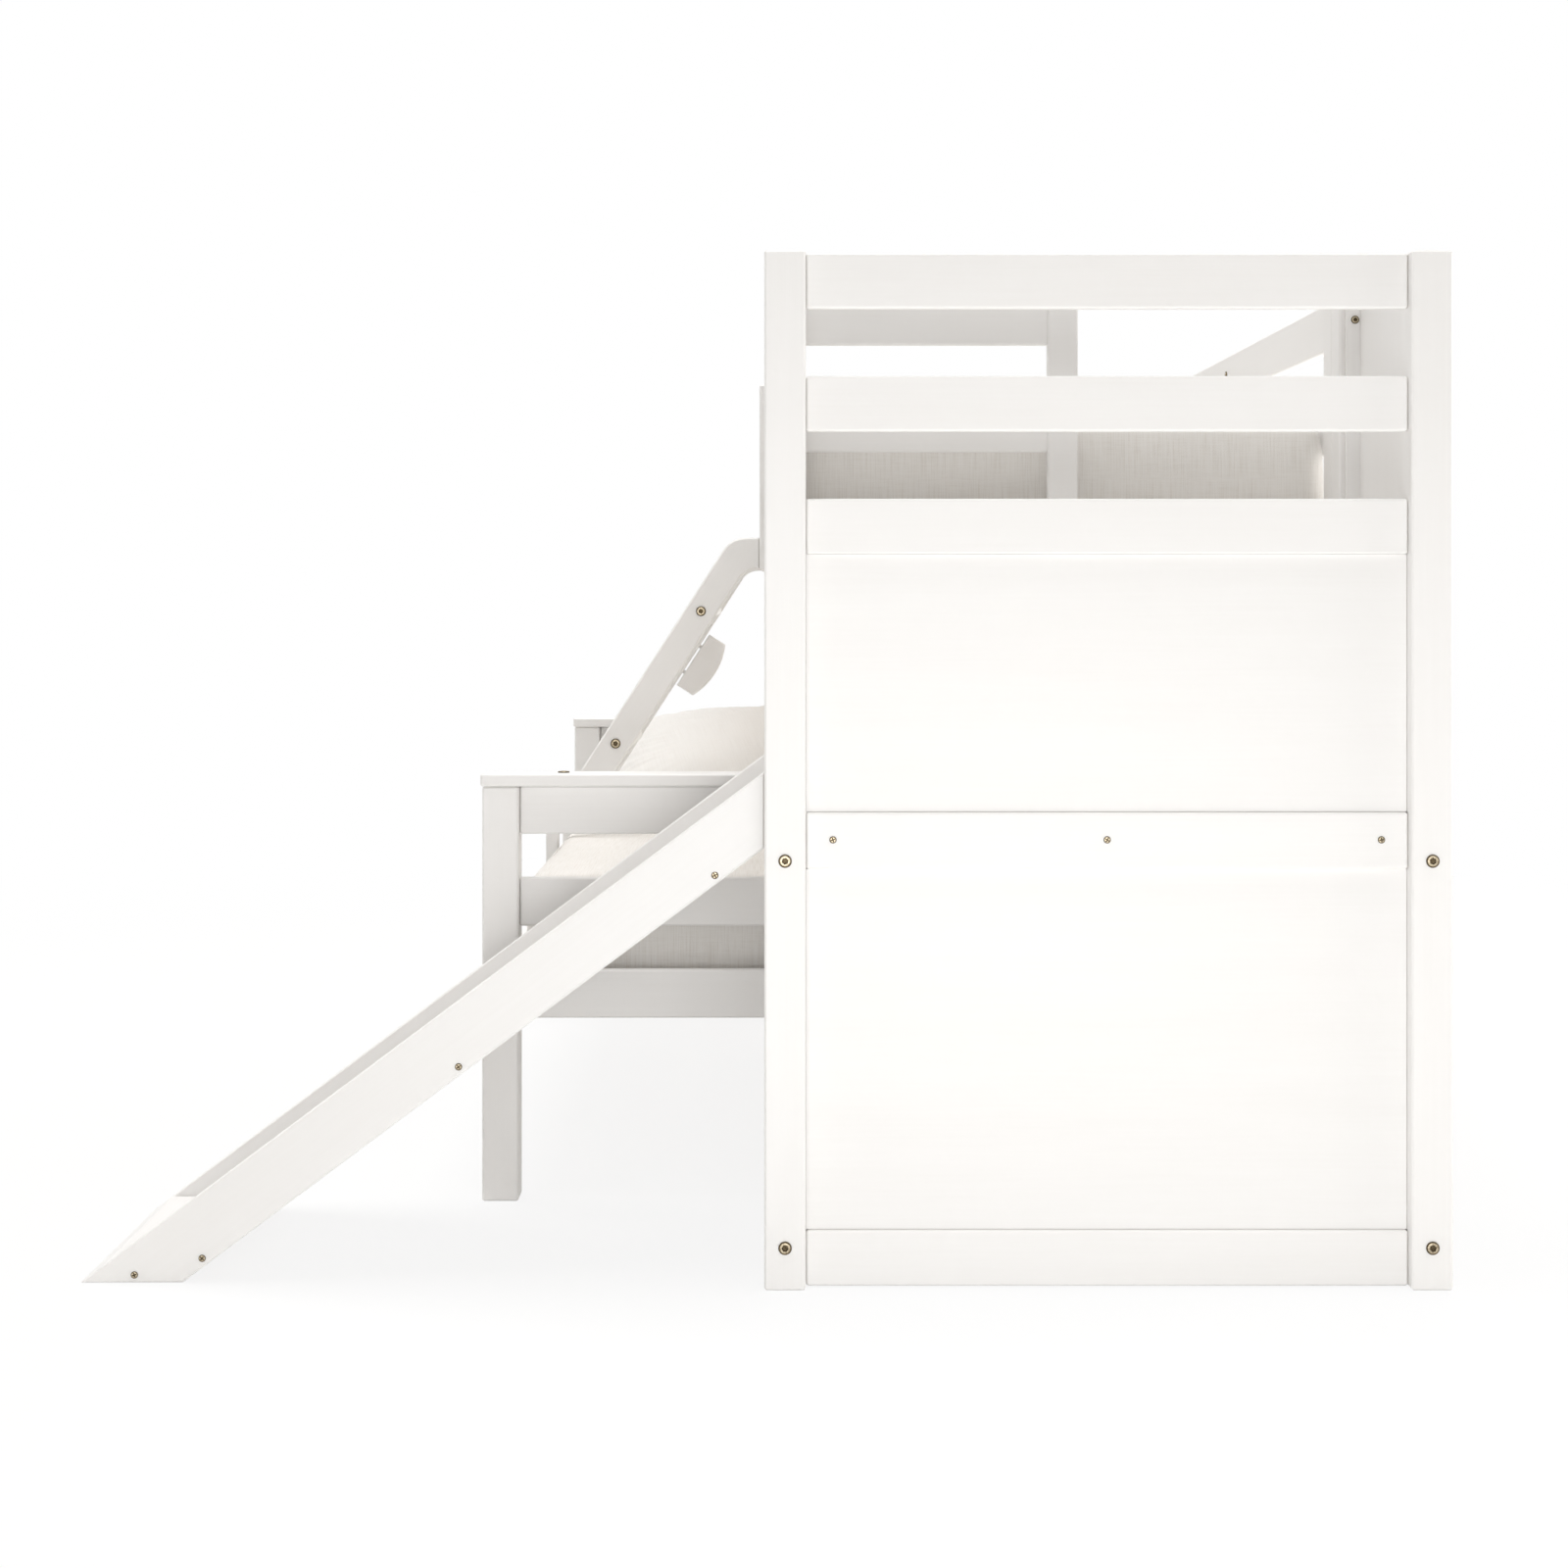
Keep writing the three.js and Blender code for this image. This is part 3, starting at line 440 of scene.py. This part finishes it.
FRONT, BACK, LEFT, RIGHT, UP = (0, -1, 0), (0, 1, 0), (-1, 0, 0), (1, 0, 0), (0, 0, 1)

HALF_POST = 31 * MM
HALF_BOARD = 41.5 * MM             # half the height of a guard's board
RAIL_INSET = 11 * MM               # half the thickness of a side rail
WALL_RAIL_INSET = 9 * MM           # from the wall guard's middle to that of its boards
BACK_STILE_OFFSET = 130 * MM       # from the ladder's centre line
STILE_BOLT_DROP = 225.5 * MM       # from the guard's top to the stile's lower bolt
GRAB_BOLT_DROP = 159.75 * MM       # from the guard's top to the grab board's lower bolt
CAP_BOLT_INSETS = (140 * MM, 24 * MM)    # from the cap's outer and inner end


def tower_bolts():
    """Side rails of the tower, through the front posts."""
    places = []
    for side, post in (("slide_side", "tower_front_left_post"), ("wall_side", "tower_front_right_post")):
        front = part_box(post)[0].y
        for level in ("upper", "lower"):
            rail = middle(f"tower_{side}_{level}_rail")
            places.append(((rail.x, front, rail.z), FRONT))
    return places


def side_rail_bolts():
    """Side rails of the bunk, through its outer posts."""
    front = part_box("near_outer_post")[0].y
    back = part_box("far_outer_post")[1].y
    low_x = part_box("full_ladder_side_rail")[0].x + RAIL_INSET
    low_z = middle("full_ladder_side_rail").z
    twin_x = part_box("twin_ladder_side_rail")[0].x + RAIL_INSET
    twin_z = middle("twin_ladder_side_rail").z
    wall_x = middle("wall_side_guard").x - WALL_RAIL_INSET
    places = [((low_x, front, low_z), FRONT), ((low_x, back, low_z), BACK), ((twin_x, back, twin_z), BACK)]
    return places + [((wall_x, back, z), BACK) for z in (low_z, twin_z)]


def guard_bolts():
    """Back stile of the wall guard and the grab boards, each bolted to both boards of its guard."""
    low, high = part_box("wall_side_guard")
    ladder_middle = (middle("ladder_near_stringer").y + middle("ladder_far_stringer").y) / 2
    y = ladder_middle + BACK_STILE_OFFSET
    places = [((low.x, y, high.z - drop), LEFT) for drop in (HALF_BOARD, STILE_BOLT_DROP)]
    for guard, sign in (("ladder_side_near_guard", 1), ("ladder_side_far_guard", -1)):
        low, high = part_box(guard)
        y = (high.y if sign > 0 else low.y) - sign * HALF_POST
        places += [((high.x, y, high.z - drop), RIGHT) for drop in (HALF_BOARD, GRAB_BOLT_DROP)]
    return places


def tread_bolts():
    """Treads, through the stringers."""
    near_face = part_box("ladder_near_stringer")[0].y
    far_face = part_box("ladder_far_stringer")[1].y
    places = []
    for tread in ("ladder_tread_1", "ladder_tread_2"):
        m = middle(tread)
        places += [((m.x, near_face, m.z), FRONT), ((m.x, far_face, m.z), BACK)]
    return places


def cap_bolts():
    """Caps of the low end, from above."""
    places = []
    for end in ("near_cap", "far_outer_headboard"):
        low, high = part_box(end)
        y = middle(end).y if end == "near_cap" else high.y - HALF_POST
        places += [((x, y, high.z), UP) for x in (low.x + CAP_BOLT_INSETS[0], high.x - CAP_BOLT_INSETS[1])]
    return places


def panel_bolts():
    """Corner battens of the tower's wall-side panel."""
    batten, from_edge, from_top, pitch = 12 * MM, 14.5 * MM, 50 * MM, 374 * MM
    low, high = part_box("tower_wall_panel")
    places = []
    for i in range(3):
        x, z = low.x + from_edge, high.z - from_top - i * pitch
        places += [((x, high.y - batten, z), FRONT), ((x, low.y + batten, z), BACK)]
    return places


def screw_places():
    """The cleat behind the tower's middle rail, and the bars and exit board between the slide's sides."""
    inset, above_middle, exit_share = 40.5 * MM, 1.5 * MM, 0.53
    low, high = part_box("tower_middle_rail")
    centre = middle("tower_middle_rail")
    places = [((x, low.y, centre.z + above_middle), FRONT) for x in (low.x + inset, centre.x, high.x - inset)]
    points = [(middle(bar).x, middle(bar).z) for bar in CROSSBARS]
    low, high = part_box("slide_exit_board")
    points.append((low.x + exit_share * (high.x - low.x), (low.z + high.z) / 2))
    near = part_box("slide_near_side")[0].y
    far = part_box("slide_far_side")[1].y
    for x, z in points:
        places += [((x, near, z), FRONT), ((x, far, z), BACK)]
    return places


# Bedding


def rounded_ring(half_x, half_y, corner, step):
    """Points round a rectangle with rounded corners, evenly spaced along the sides."""
    turns = 8
    points = []
    for quarter, (sx, sy) in enumerate(((1, 1), (-1, 1), (-1, -1), (1, -1))):
        x, y = sx * (half_x - corner), sy * (half_y - corner)
        for i in range(turns + 1):
            a = (quarter + i / turns) * math.pi / 2
            points.append((x + corner * math.cos(a), y + corner * math.sin(a)))
    filled = []
    for i, (x0, y0) in enumerate(points):
        x1, y1 = points[(i + 1) % len(points)]
        count = max(1, round(math.hypot(x1 - x0, y1 - y0) / step))
        filled += [(x0 + (x1 - x0) * k / count, y0 + (y1 - y0) * k / count) for k in range(count)]
    return filled


# Sizes of a mattress
CROWN = 5 * MM             # rise of each panel's middle
UPPER_EDGE = 24 * MM       # radius between side and upper panel
LOWER_EDGE = 15 * MM
BULGE = 5 * MM             # of the sides
PROUD = 4 * MM             # of the frame's solid, all round
MATTRESS_CORNER = 52 * MM
TO_WALL = 4 * MM           # how far it lies from the middle of its solid
MATTRESS_SEAM = 1.3 * MM   # radius of the cord in the seam


def edge_curve(degrees, radius):
    """Inset and drop under the panel, at an angle from the side (0) to the panel (90)."""
    angle = math.radians(degrees)
    return BULGE + radius * (1 - math.cos(angle)), radius * (1 - math.sin(angle))


def mattress_profile(half_height, flat_from):
    """Inset and height of each ring, from the lower panel's middle round the side to the upper panel's."""
    body_top = half_height - CROWN
    panel_edge = BULGE + UPPER_EDGE
    panel_steps, side_steps = 16, 12
    panel = [1 - (i / panel_steps) ** 0.8 for i in range(panel_steps)]
    degrees = (90, 76, 62, 48, 34, 20, 8)
    side_low, side_high = LOWER_EDGE - half_height, body_top - UPPER_EDGE

    def inset_at(share):
        return panel_edge + share * (flat_from - panel_edge)

    profile = [(inset_at(share), -half_height) for share in panel]
    for turn in degrees:
        inset, drop = edge_curve(turn, LOWER_EDGE)
        profile.append((inset, drop - half_height))
    for i in range(1, side_steps):
        share = i / side_steps
        inset = BULGE * (1 - math.sin(math.pi * share) ** 0.8)
        profile.append((inset, side_low + share * (side_high - side_low)))
    for turn in reversed(degrees):
        inset, drop = edge_curve(turn, UPPER_EDGE)
        profile.append((inset, body_top - drop))
    for share in reversed(panel):
        rise = math.sin(min(1.0, share * 1.5) * math.pi / 2)
        profile.append((inset_at(share), body_top + CROWN * rise))
    return profile


def soften(bm, height, core, seam_level, under):
    """Soft hollows and puckers beside the seam, but none on the under side and in the core's flat caps."""
    waves = ((4.5, 1.6 * MM), (15, 0.7 * MM))    # per metre, and how deep
    puckers, pucker_depth, seam_reach = 42, 1.1 * MM, 14 * MM
    fade, margin = 0.12, 1 * MM
    for v in bm.verts:
        place = Vector((v.co.x, v.co.y, v.co.z + height))
        from_core = max(abs(v.co.x) - core[0], abs(v.co.y) - core[1]) - margin
        hollow = sum(noise.noise(place * scale) * depth for scale, depth in waves)
        from_seam = abs(v.co.z - seam_level)
        pucker = noise.noise(place * puckers) * pucker_depth * math.exp(-from_seam / seam_reach)
        if from_core > 0 and v.co.z > under:
            v.co += v.normal * (hollow * min(1, from_core / fade) + pucker)


def mattress(name, node, material):
    """Foam in a linen cover: crowned panels, soft edges, bulging sides, a seam round the upper panel."""
    low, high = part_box(node)
    centre = (low + high) / 2 + Vector((TO_WALL, 0, 0))
    half = (high - low) / 2
    reach = (half.x + PROUD, half.y + PROUD)
    outline = rounded_ring(*reach, MATTRESS_CORNER, step=0.014)
    flat_from = 0.45 * reach[0]
    bm = bmesh.new()

    def inwards(inset):
        kx, ky = ((side - inset) / side for side in reach)
        return [(x * kx, y * ky) for x, y in outline]

    profile = mattress_profile(half.z, flat_from)
    rings = [[bm.verts.new((x, y, z)) for x, y in inwards(inset)] for inset, z in profile]
    for a, b in zip(rings, rings[1:]):
        for i in range(len(outline)):
            bm.faces.new((a[i - 1], a[i], b[i], b[i - 1]))
    bm.faces.new(reversed(rings[0]))
    bm.faces.new(rings[-1])
    bm.normal_update()
    seam_inset, seam_drop = edge_curve(50, UPPER_EDGE)
    seam_level = half.z - CROWN - seam_drop
    core = [side - flat_from for side in reach]
    soften(bm, centre.z, core, seam_level, under=1 * MM - half.z)
    add_cord(bm, [Vector((x, y, seam_level)) for x, y in inwards(seam_inset)], MATTRESS_SEAM)
    piece = new_piece(name, bm, material, FRAME_BODY if node == "lower_mattress" else node)
    piece.matrix_world = Matrix.Translation(centre)
    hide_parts(node)
    return piece


def add_cord(bm, points, radius, sides=6):
    """A thin tube along a closed line that lies about level."""
    count = len(points)
    section = circle(radius, sides)
    rows = []
    for i, point in enumerate(points):
        tangent = (points[(i + 1) % count] - points[i - 1]).normalized()
        outward = tangent.cross(Vector((0, 0, 1))).normalized()
        above = outward.cross(tangent)
        rows.append([bm.verts.new(point + outward * x + above * y) for x, y in section])
    for i in range(count):
        a, b = rows[i], rows[(i + 1) % count]
        for k in range(sides):
            bm.faces.new((a[k], b[k], b[(k + 1) % sides], a[(k + 1) % sides]))


def apply_modifiers(piece):
    """Makes the piece's mesh what its modifiers make of it."""
    bpy.context.view_layer.update()
    graph = bpy.context.evaluated_depsgraph_get()
    mesh = bpy.data.meshes.new_from_object(piece.evaluated_get(graph))
    piece.modifiers.clear()
    piece.data = mesh


def remeshed(piece, voxel):
    remesh = piece.modifiers.new("remesh", "REMESH")
    remesh.mode = "VOXEL"
    remesh.voxel_size = voxel
    apply_modifiers(piece)


def subdivided(piece):
    piece.modifiers.new("subdivision", "SUBSURF").levels = 1
    apply_modifiers(piece)


def puff(piece, pressure, cap, frames=20):
    """Blows the piece up as cloth without gravity; no point moves further than cap."""
    start = [v.co.copy() for v in piece.data.vertices]
    cloth = piece.modifiers.new("cloth", "CLOTH")
    cloth.settings.quality = 5
    cloth.settings.mass = 0.25
    cloth.settings.tension_stiffness = 12
    cloth.settings.compression_stiffness = 12
    cloth.settings.shear_stiffness = 4
    cloth.settings.bending_stiffness = 0.4
    cloth.settings.use_pressure = True
    cloth.settings.uniform_pressure_force = pressure
    cloth.settings.effector_weights.gravity = 0
    cloth.collision_settings.use_collision = False
    cloth.point_cache.frame_start = 1
    cloth.point_cache.frame_end = frames
    scene = bpy.context.scene
    for number in range(1, frames + 1):
        scene.frame_set(number)
    apply_modifiers(piece)
    scene.frame_set(1)
    for vertex, before in zip(piece.data.vertices, start):
        move = vertex.co - before
        if move.length > cap:
            vertex.co = before + move * (cap / move.length)


# Sizes of a pillow
PILLOW_SIZE = (0.700, 0.430, 0.141)
PILLOW_ROUNDNESS = 2.15    # power of its outline: 2 is an ellipse
PILLOW_DRAW = 6 * MM       # how far its sides are drawn in
PILLOW_SWELL = 5 * MM      # room left for the cloth to swell
FULLNESS = 0.45            # power of its height over the seam: lower is fuller
PILLOW_COVER = 3 * MM      # how far it stays inside its size all round
PILLOW_SEAM = 1.6 * MM     # radius of the cord in the seam


def seam_outline(count, size):
    """Points of a pillow's seam: a rounded rectangle whose sides are drawn in a little."""
    points = []
    for x, y in circle(1, count):
        u, v = (math.copysign(abs(c) ** (2 / PILLOW_ROUNDNESS), c) for c in (x, y))
        half_x = size[0] / 2 - PILLOW_DRAW * (1 - v * v)
        half_y = size[1] / 2 - PILLOW_DRAW * (1 - u * u)
        points.append((u * half_x, v * half_y))
    return points


def pillow_blank(outline, thickness, fullness):
    """The start shape: two sheets bulged by thickness that meet in the seam."""
    bm = bmesh.new()
    steps = 22
    shares = [math.sin(k / steps * math.pi / 2) for k in range(1, steps + 1)]
    for side in (1, -1):
        rings = []
        for share in shares:
            height = side * thickness / 2 * (1 - share * share) ** fullness
            rings.append(loop(bm, scaled(outline, share), height))
        for a, b in zip(rings, rings[1:]):
            bmesh.ops.bridge_loops(bm, edges=a + b)
        bmesh.ops.contextual_create(bm, geom=rings[0])
    bmesh.ops.remove_doubles(bm, verts=bm.verts, dist=0.0002)
    bmesh.ops.recalc_face_normals(bm, faces=bm.faces)
    return bm


def fit_to(mesh, size):
    """Scales a centred mesh so that its box is size."""
    for axis in range(3):
        values = [v.co[axis] for v in mesh.vertices]
        low, high = min(values), max(values)
        for v in mesh.vertices:
            v.co[axis] = ((v.co[axis] - low) / (high - low) - 0.5) * size[axis]


def seam_share(point):
    """0 in the middle of a pillow, 1 on its outline."""
    total = sum((abs(point[i]) / (PILLOW_SIZE[i] / 2)) ** PILLOW_ROUNDNESS for i in range(2))
    return total ** (1 / PILLOW_ROUNDNESS)


def settle(mesh, strength):
    """Draws the puffed shape towards an even filling: fullest in the middle, thin at the seam."""
    half_full = PILLOW_SIZE[2] / 2 - 2 * MM
    for v in mesh.vertices:
        share = seam_share(v.co)
        if share > 1:
            v.co.x, v.co.y = v.co.x / share, v.co.y / share
        full = half_full * max(0.0, 1 - share * share) ** FULLNESS
        v.co.z += strength * (math.copysign(full, v.co.z) - v.co.z)


def gather(mesh, seed):
    """Soft hollows all over, and small puckers that run in from the seam."""
    puckers, pucker_depth, pucker_from = 9, 11 * MM, 0.55
    hollows, hollow_depth = 5, 2.2 * MM
    normals = [v.normal.copy() for v in mesh.vertices]
    for v, normal in zip(mesh.vertices, normals):
        angle = math.atan2(v.co.y / PILLOW_SIZE[1], v.co.x / PILLOW_SIZE[0])
        sheet = math.copysign(1, v.co.z)
        round_the_seam = Vector((puckers * math.cos(angle), puckers * math.sin(angle), seed + 3 * sheet))
        near = max(0.0, (seam_share(v.co) - pucker_from) / (1 - pucker_from))
        pucker = abs(noise.noise(round_the_seam)) * pucker_depth * near * max(0.0, 1 - near**6)
        hollow = noise.noise(Vector((v.co.x * hollows, v.co.y * hollows, seed + sheet))) * hollow_depth
        v.co += normal * (hollow * (1 - near) - pucker)


def seam_line(mesh, count):
    """The outermost points all round, evened out a little."""
    best = [None] * count
    for v in mesh.vertices:
        i = int((math.atan2(v.co.y, v.co.x) / (2 * math.pi) % 1) * count) % count
        if best[i] is None or v.co.xy.length > best[i].xy.length:
            best[i] = v.co.copy()
    return [(best[i - 1] + best[i] * 2 + best[(i + 1) % count]) / 4 for i in range(count)]


def press_out(piece, others, clearance):
    """Moves each point that lies in one of the others to just outside it, as soft things give way."""
    search = 0.05
    matrix = piece.matrix_world
    back = matrix.inverted()
    for other in others:
        place = other.matrix_world
        corners = [place @ v.co for v in other.data.vertices]
        tree = BVHTree.FromPolygons(corners, [list(p.vertices) for p in other.data.polygons])
        for v in piece.data.vertices:
            point = matrix @ v.co
            near, normal, _, _ = tree.find_nearest(point, search)
            if near is not None and (point - near).dot(normal) < clearance:
                v.co = back @ (near + normal * clearance)


def pillow(name, node, material, turn, lean, beside):
    """A filled pillow: puffed up as cloth, gathered along its seam, flat where it lies on something."""
    start = [side - 2 * PILLOW_SWELL for side in PILLOW_SIZE]
    blank = pillow_blank(seam_outline(160, start), start[2], FULLNESS)
    piece = new_piece(name, blank, material, node)
    remeshed(piece, voxel=6 * MM)
    puff(piece, pressure=4, cap=8 * MM)
    subdivided(piece)
    fit_to(piece.data, [side - 2 * PILLOW_COVER for side in PILLOW_SIZE])
    settle(piece.data, 0.7)
    gather(piece.data, seed=lean * 10)
    low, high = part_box(node)
    pose = Matrix.Rotation(lean, 4, "X") @ Matrix.Rotation(turn, 4, "Z")
    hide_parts(node)
    piece.matrix_world = Matrix.Translation((low + high) / 2) @ pose
    bpy.context.view_layer.update()
    press_out(piece, beside, clearance=0.6 * MM)
    bm = bmesh.new()
    bm.from_mesh(piece.data)
    add_cord(bm, seam_line(piece.data, 150), PILLOW_SEAM)
    bm.to_mesh(piece.data)
    bm.free()
    piece.data.shade_smooth()
    return piece


# Stage


# Name, place, what it points at, size, power and colour of each lamp
LAMPS = (
    ("front_light", (0.03, -6.3, 1.1), (0.03, 0, 0.8), (3.0, 2.4), 36, (1, 0.99, 0.98)),
    ("low_light", (0.5, -2.95, 0.52), (0.5, 0, 0.52), (1.5, 0.9), 6.9, (0.97, 0.985, 1)),
    ("floor_light", (-0.9, -5.5, 0.3), (-0.3, 0, 0.5), (3.0, 0.5), 13, (0.98, 0.99, 1)),
    ("top_light", (-0.2, 0.2, 12.0), (-0.2, 0.2, 0), (8.0, 8.5), 1060, (1, 0.995, 0.99)),
    ("left_light", (-4.4, 1.6, 3.2), (0.6, 0.6, 1.3), (2.0, 2.0), 36, (1, 0.985, 0.96)),
    ("right_light", (4.5, -1.0, 1.6), (0, 0, 0.7), (3.0, 2.4), 64, (1, 0.975, 0.94)),
    ("back_light", (2.9, 5.0, 1.6), (0.3, 0, 0.7), (3.0, 2.4), 62, (1, 0.975, 0.94)),
)
LIGHTING_COLOUR = (1, 0.95, 0.885, 1)    # of the world's light on the object, not of what the camera sees
LIGHTING_STRENGTH = 0.31
FLOOR_COLOUR = (0.92, 0.92, 0.915, 1)
FLOOR_SINK = 0.5 * MM                    # so that the feet's soles don't lie in the floor's plane
WHITE_SHARES = (0.86, 1.0)               # white that the camera sees in the floor, near and far
WHITE_REACH = (1.6, 5.0)                 # where near ends and far begins


def area_light(name, place, target, size, power, colour):
    light = bpy.data.lights.new(name, "AREA")
    light.color = colour
    light.shape = "RECTANGLE"
    light.size, light.size_y = size
    light.energy = power
    lamp = bpy.data.objects.new(name, light)
    lamp.location = place
    lamp.rotation_euler = (Vector(target) - Vector(place)).to_track_quat("-Z", "Y").to_euler()
    lamp.visible_camera = False
    bpy.context.scene.collection.objects.link(lamp)


def seen_directly(nodes, links):
    """1 for camera, glossy and transmission rays."""
    path = nodes.new("ShaderNodeLightPath").outputs
    total = path["Is Camera Ray"]
    for name in ("Is Glossy Ray", "Is Transmission Ray"):
        add = nodes.new("ShaderNodeMath")
        add.operation = "MAXIMUM"
        links.new(total, add.inputs[0])
        links.new(path[name], add.inputs[1])
        total = add.outputs[0]
    return total


def build_world():
    """White to the eye, and an even, slightly warm light on the object."""
    world = bpy.data.worlds.new("studio")
    bpy.context.scene.world = world
    world.use_nodes = True
    nodes, links = world.node_tree.nodes, world.node_tree.links
    shown = nodes["Background"]
    shown.inputs["Color"].default_value = (1, 1, 1, 1)
    shown.inputs["Strength"].default_value = 1.0
    lighting = nodes.new("ShaderNodeBackground")
    lighting.inputs["Color"].default_value = LIGHTING_COLOUR
    lighting.inputs["Strength"].default_value = LIGHTING_STRENGTH
    mix = nodes.new("ShaderNodeMixShader")
    links.new(seen_directly(nodes, links), mix.inputs[0])
    links.new(lighting.outputs[0], mix.inputs[1])
    links.new(shown.outputs[0], mix.inputs[2])
    links.new(mix.outputs[0], nodes["World Output"].inputs["Surface"])


def build_floor():
    """A pale floor that keeps the object's shadow near it and is white further out."""
    bm = bmesh.new()
    bmesh.ops.create_grid(bm, x_segments=8, y_segments=8, size=30)
    mesh = bpy.data.meshes.new("floor")
    bm.to_mesh(mesh)
    bm.free()
    floor = bpy.data.objects.new("floor", mesh)
    floor.location = (0, 0, -FLOOR_SINK)
    bpy.context.scene.collection.objects.link(floor)
    t = Tree("floor")
    t.finish(Base_Color=FLOOR_COLOUR, Roughness=0.9)
    glow = t.add("ShaderNodeEmission", {"Color": (1, 1, 1, 1), "Strength": 1.0})
    reach = t.add("ShaderNodeVectorMath", {0: t.place()}, operation="LENGTH").outputs["Value"]
    white = t.range(reach, *WHITE_REACH, *WHITE_SHARES)
    white.node.interpolation_type = "SMOOTHSTEP"
    factor = t.math("MULTIPLY", seen_directly(t.nodes, t.links), white)
    mix = t.add("ShaderNodeMixShader", {0: factor, 1: t.shader.outputs[0], 2: glow.outputs[0]})
    t.links.new(mix.outputs[0], t.nodes["Material Output"].inputs["Surface"])
    mesh.materials.append(t.material)


def build_camera():
    """The photo's camera: level and square to the bed's end, with the frame shifted down."""
    data = bpy.data.cameras.new("camera")
    data.sensor_width = 36
    data.lens = 58.62
    data.shift_x = 0.0019
    data.shift_y = -0.12125
    camera = bpy.data.objects.new("camera", data)
    camera.location = (0.027, -5.09315, 1.0384)
    camera.rotation_euler = (math.pi / 2, 0, 0)
    bpy.context.scene.collection.objects.link(camera)
    bpy.context.scene.camera = camera


def add_fasteners():
    # The bright copy of the brass is a painted highlight on the domes, the dark copy painted shade on the
    # rims and sockets.
    metals = (
        plated_metal("lit_brass", [(0.34, 0.275, 0.18), (0.60, 0.515, 0.375)], 0.24),
        plated_metal("shaded_brass", [(0.05, 0.037, 0.021), (0.13, 0.10, 0.06)], 0.36),
    )
    bolts = tower_bolts() + side_rail_bolts() + guard_bolts() + tread_bolts() + cap_bolts()
    heads("bolts", bolts, 10.0 * MM, 2.6 * MM, circle(5.0 * MM, 6), 2.3 * MM, metals)
    heads("panel_bolts", panel_bolts(), 6.8 * MM, 2.2 * MM, circle(3.4 * MM, 6), 1.9 * MM, metals)
    heads("screws", screw_places(), 5.4 * MM, 1.6 * MM, cross(3.3 * MM, 1.8 * MM), 1.4 * MM, metals)


def add_bedding():
    linen = fabric("linen", LINEN, upright=True, pitch=1.6 * MM, shade=10 * MM)
    cotton = fabric("cotton", COTTON, upright=False, pitch=1.4 * MM, shade=45 * MM)
    lower = mattress("lower_mattress_cover", "lower_mattress", linen)
    mattress("upper_mattress_cover", "upper_mattress", linen)
    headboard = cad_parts["far_outer_headboard"]
    lean = math.radians(22.5)
    back = pillow("back_pillow_cover", "back_pillow", cotton, 0.0, lean, [lower, headboard])
    turn, lean = math.radians(12), math.radians(25)
    pillow("front_pillow_cover", "front_pillow", cotton, turn, lean, [lower, back])


build_camera()
build_world()
build_floor()
for lamp in LAMPS:
    area_light(*lamp)
dress_wood()
add_fasteners()
add_bedding()

bpy.context.scene.view_settings.view_transform = "Standard"
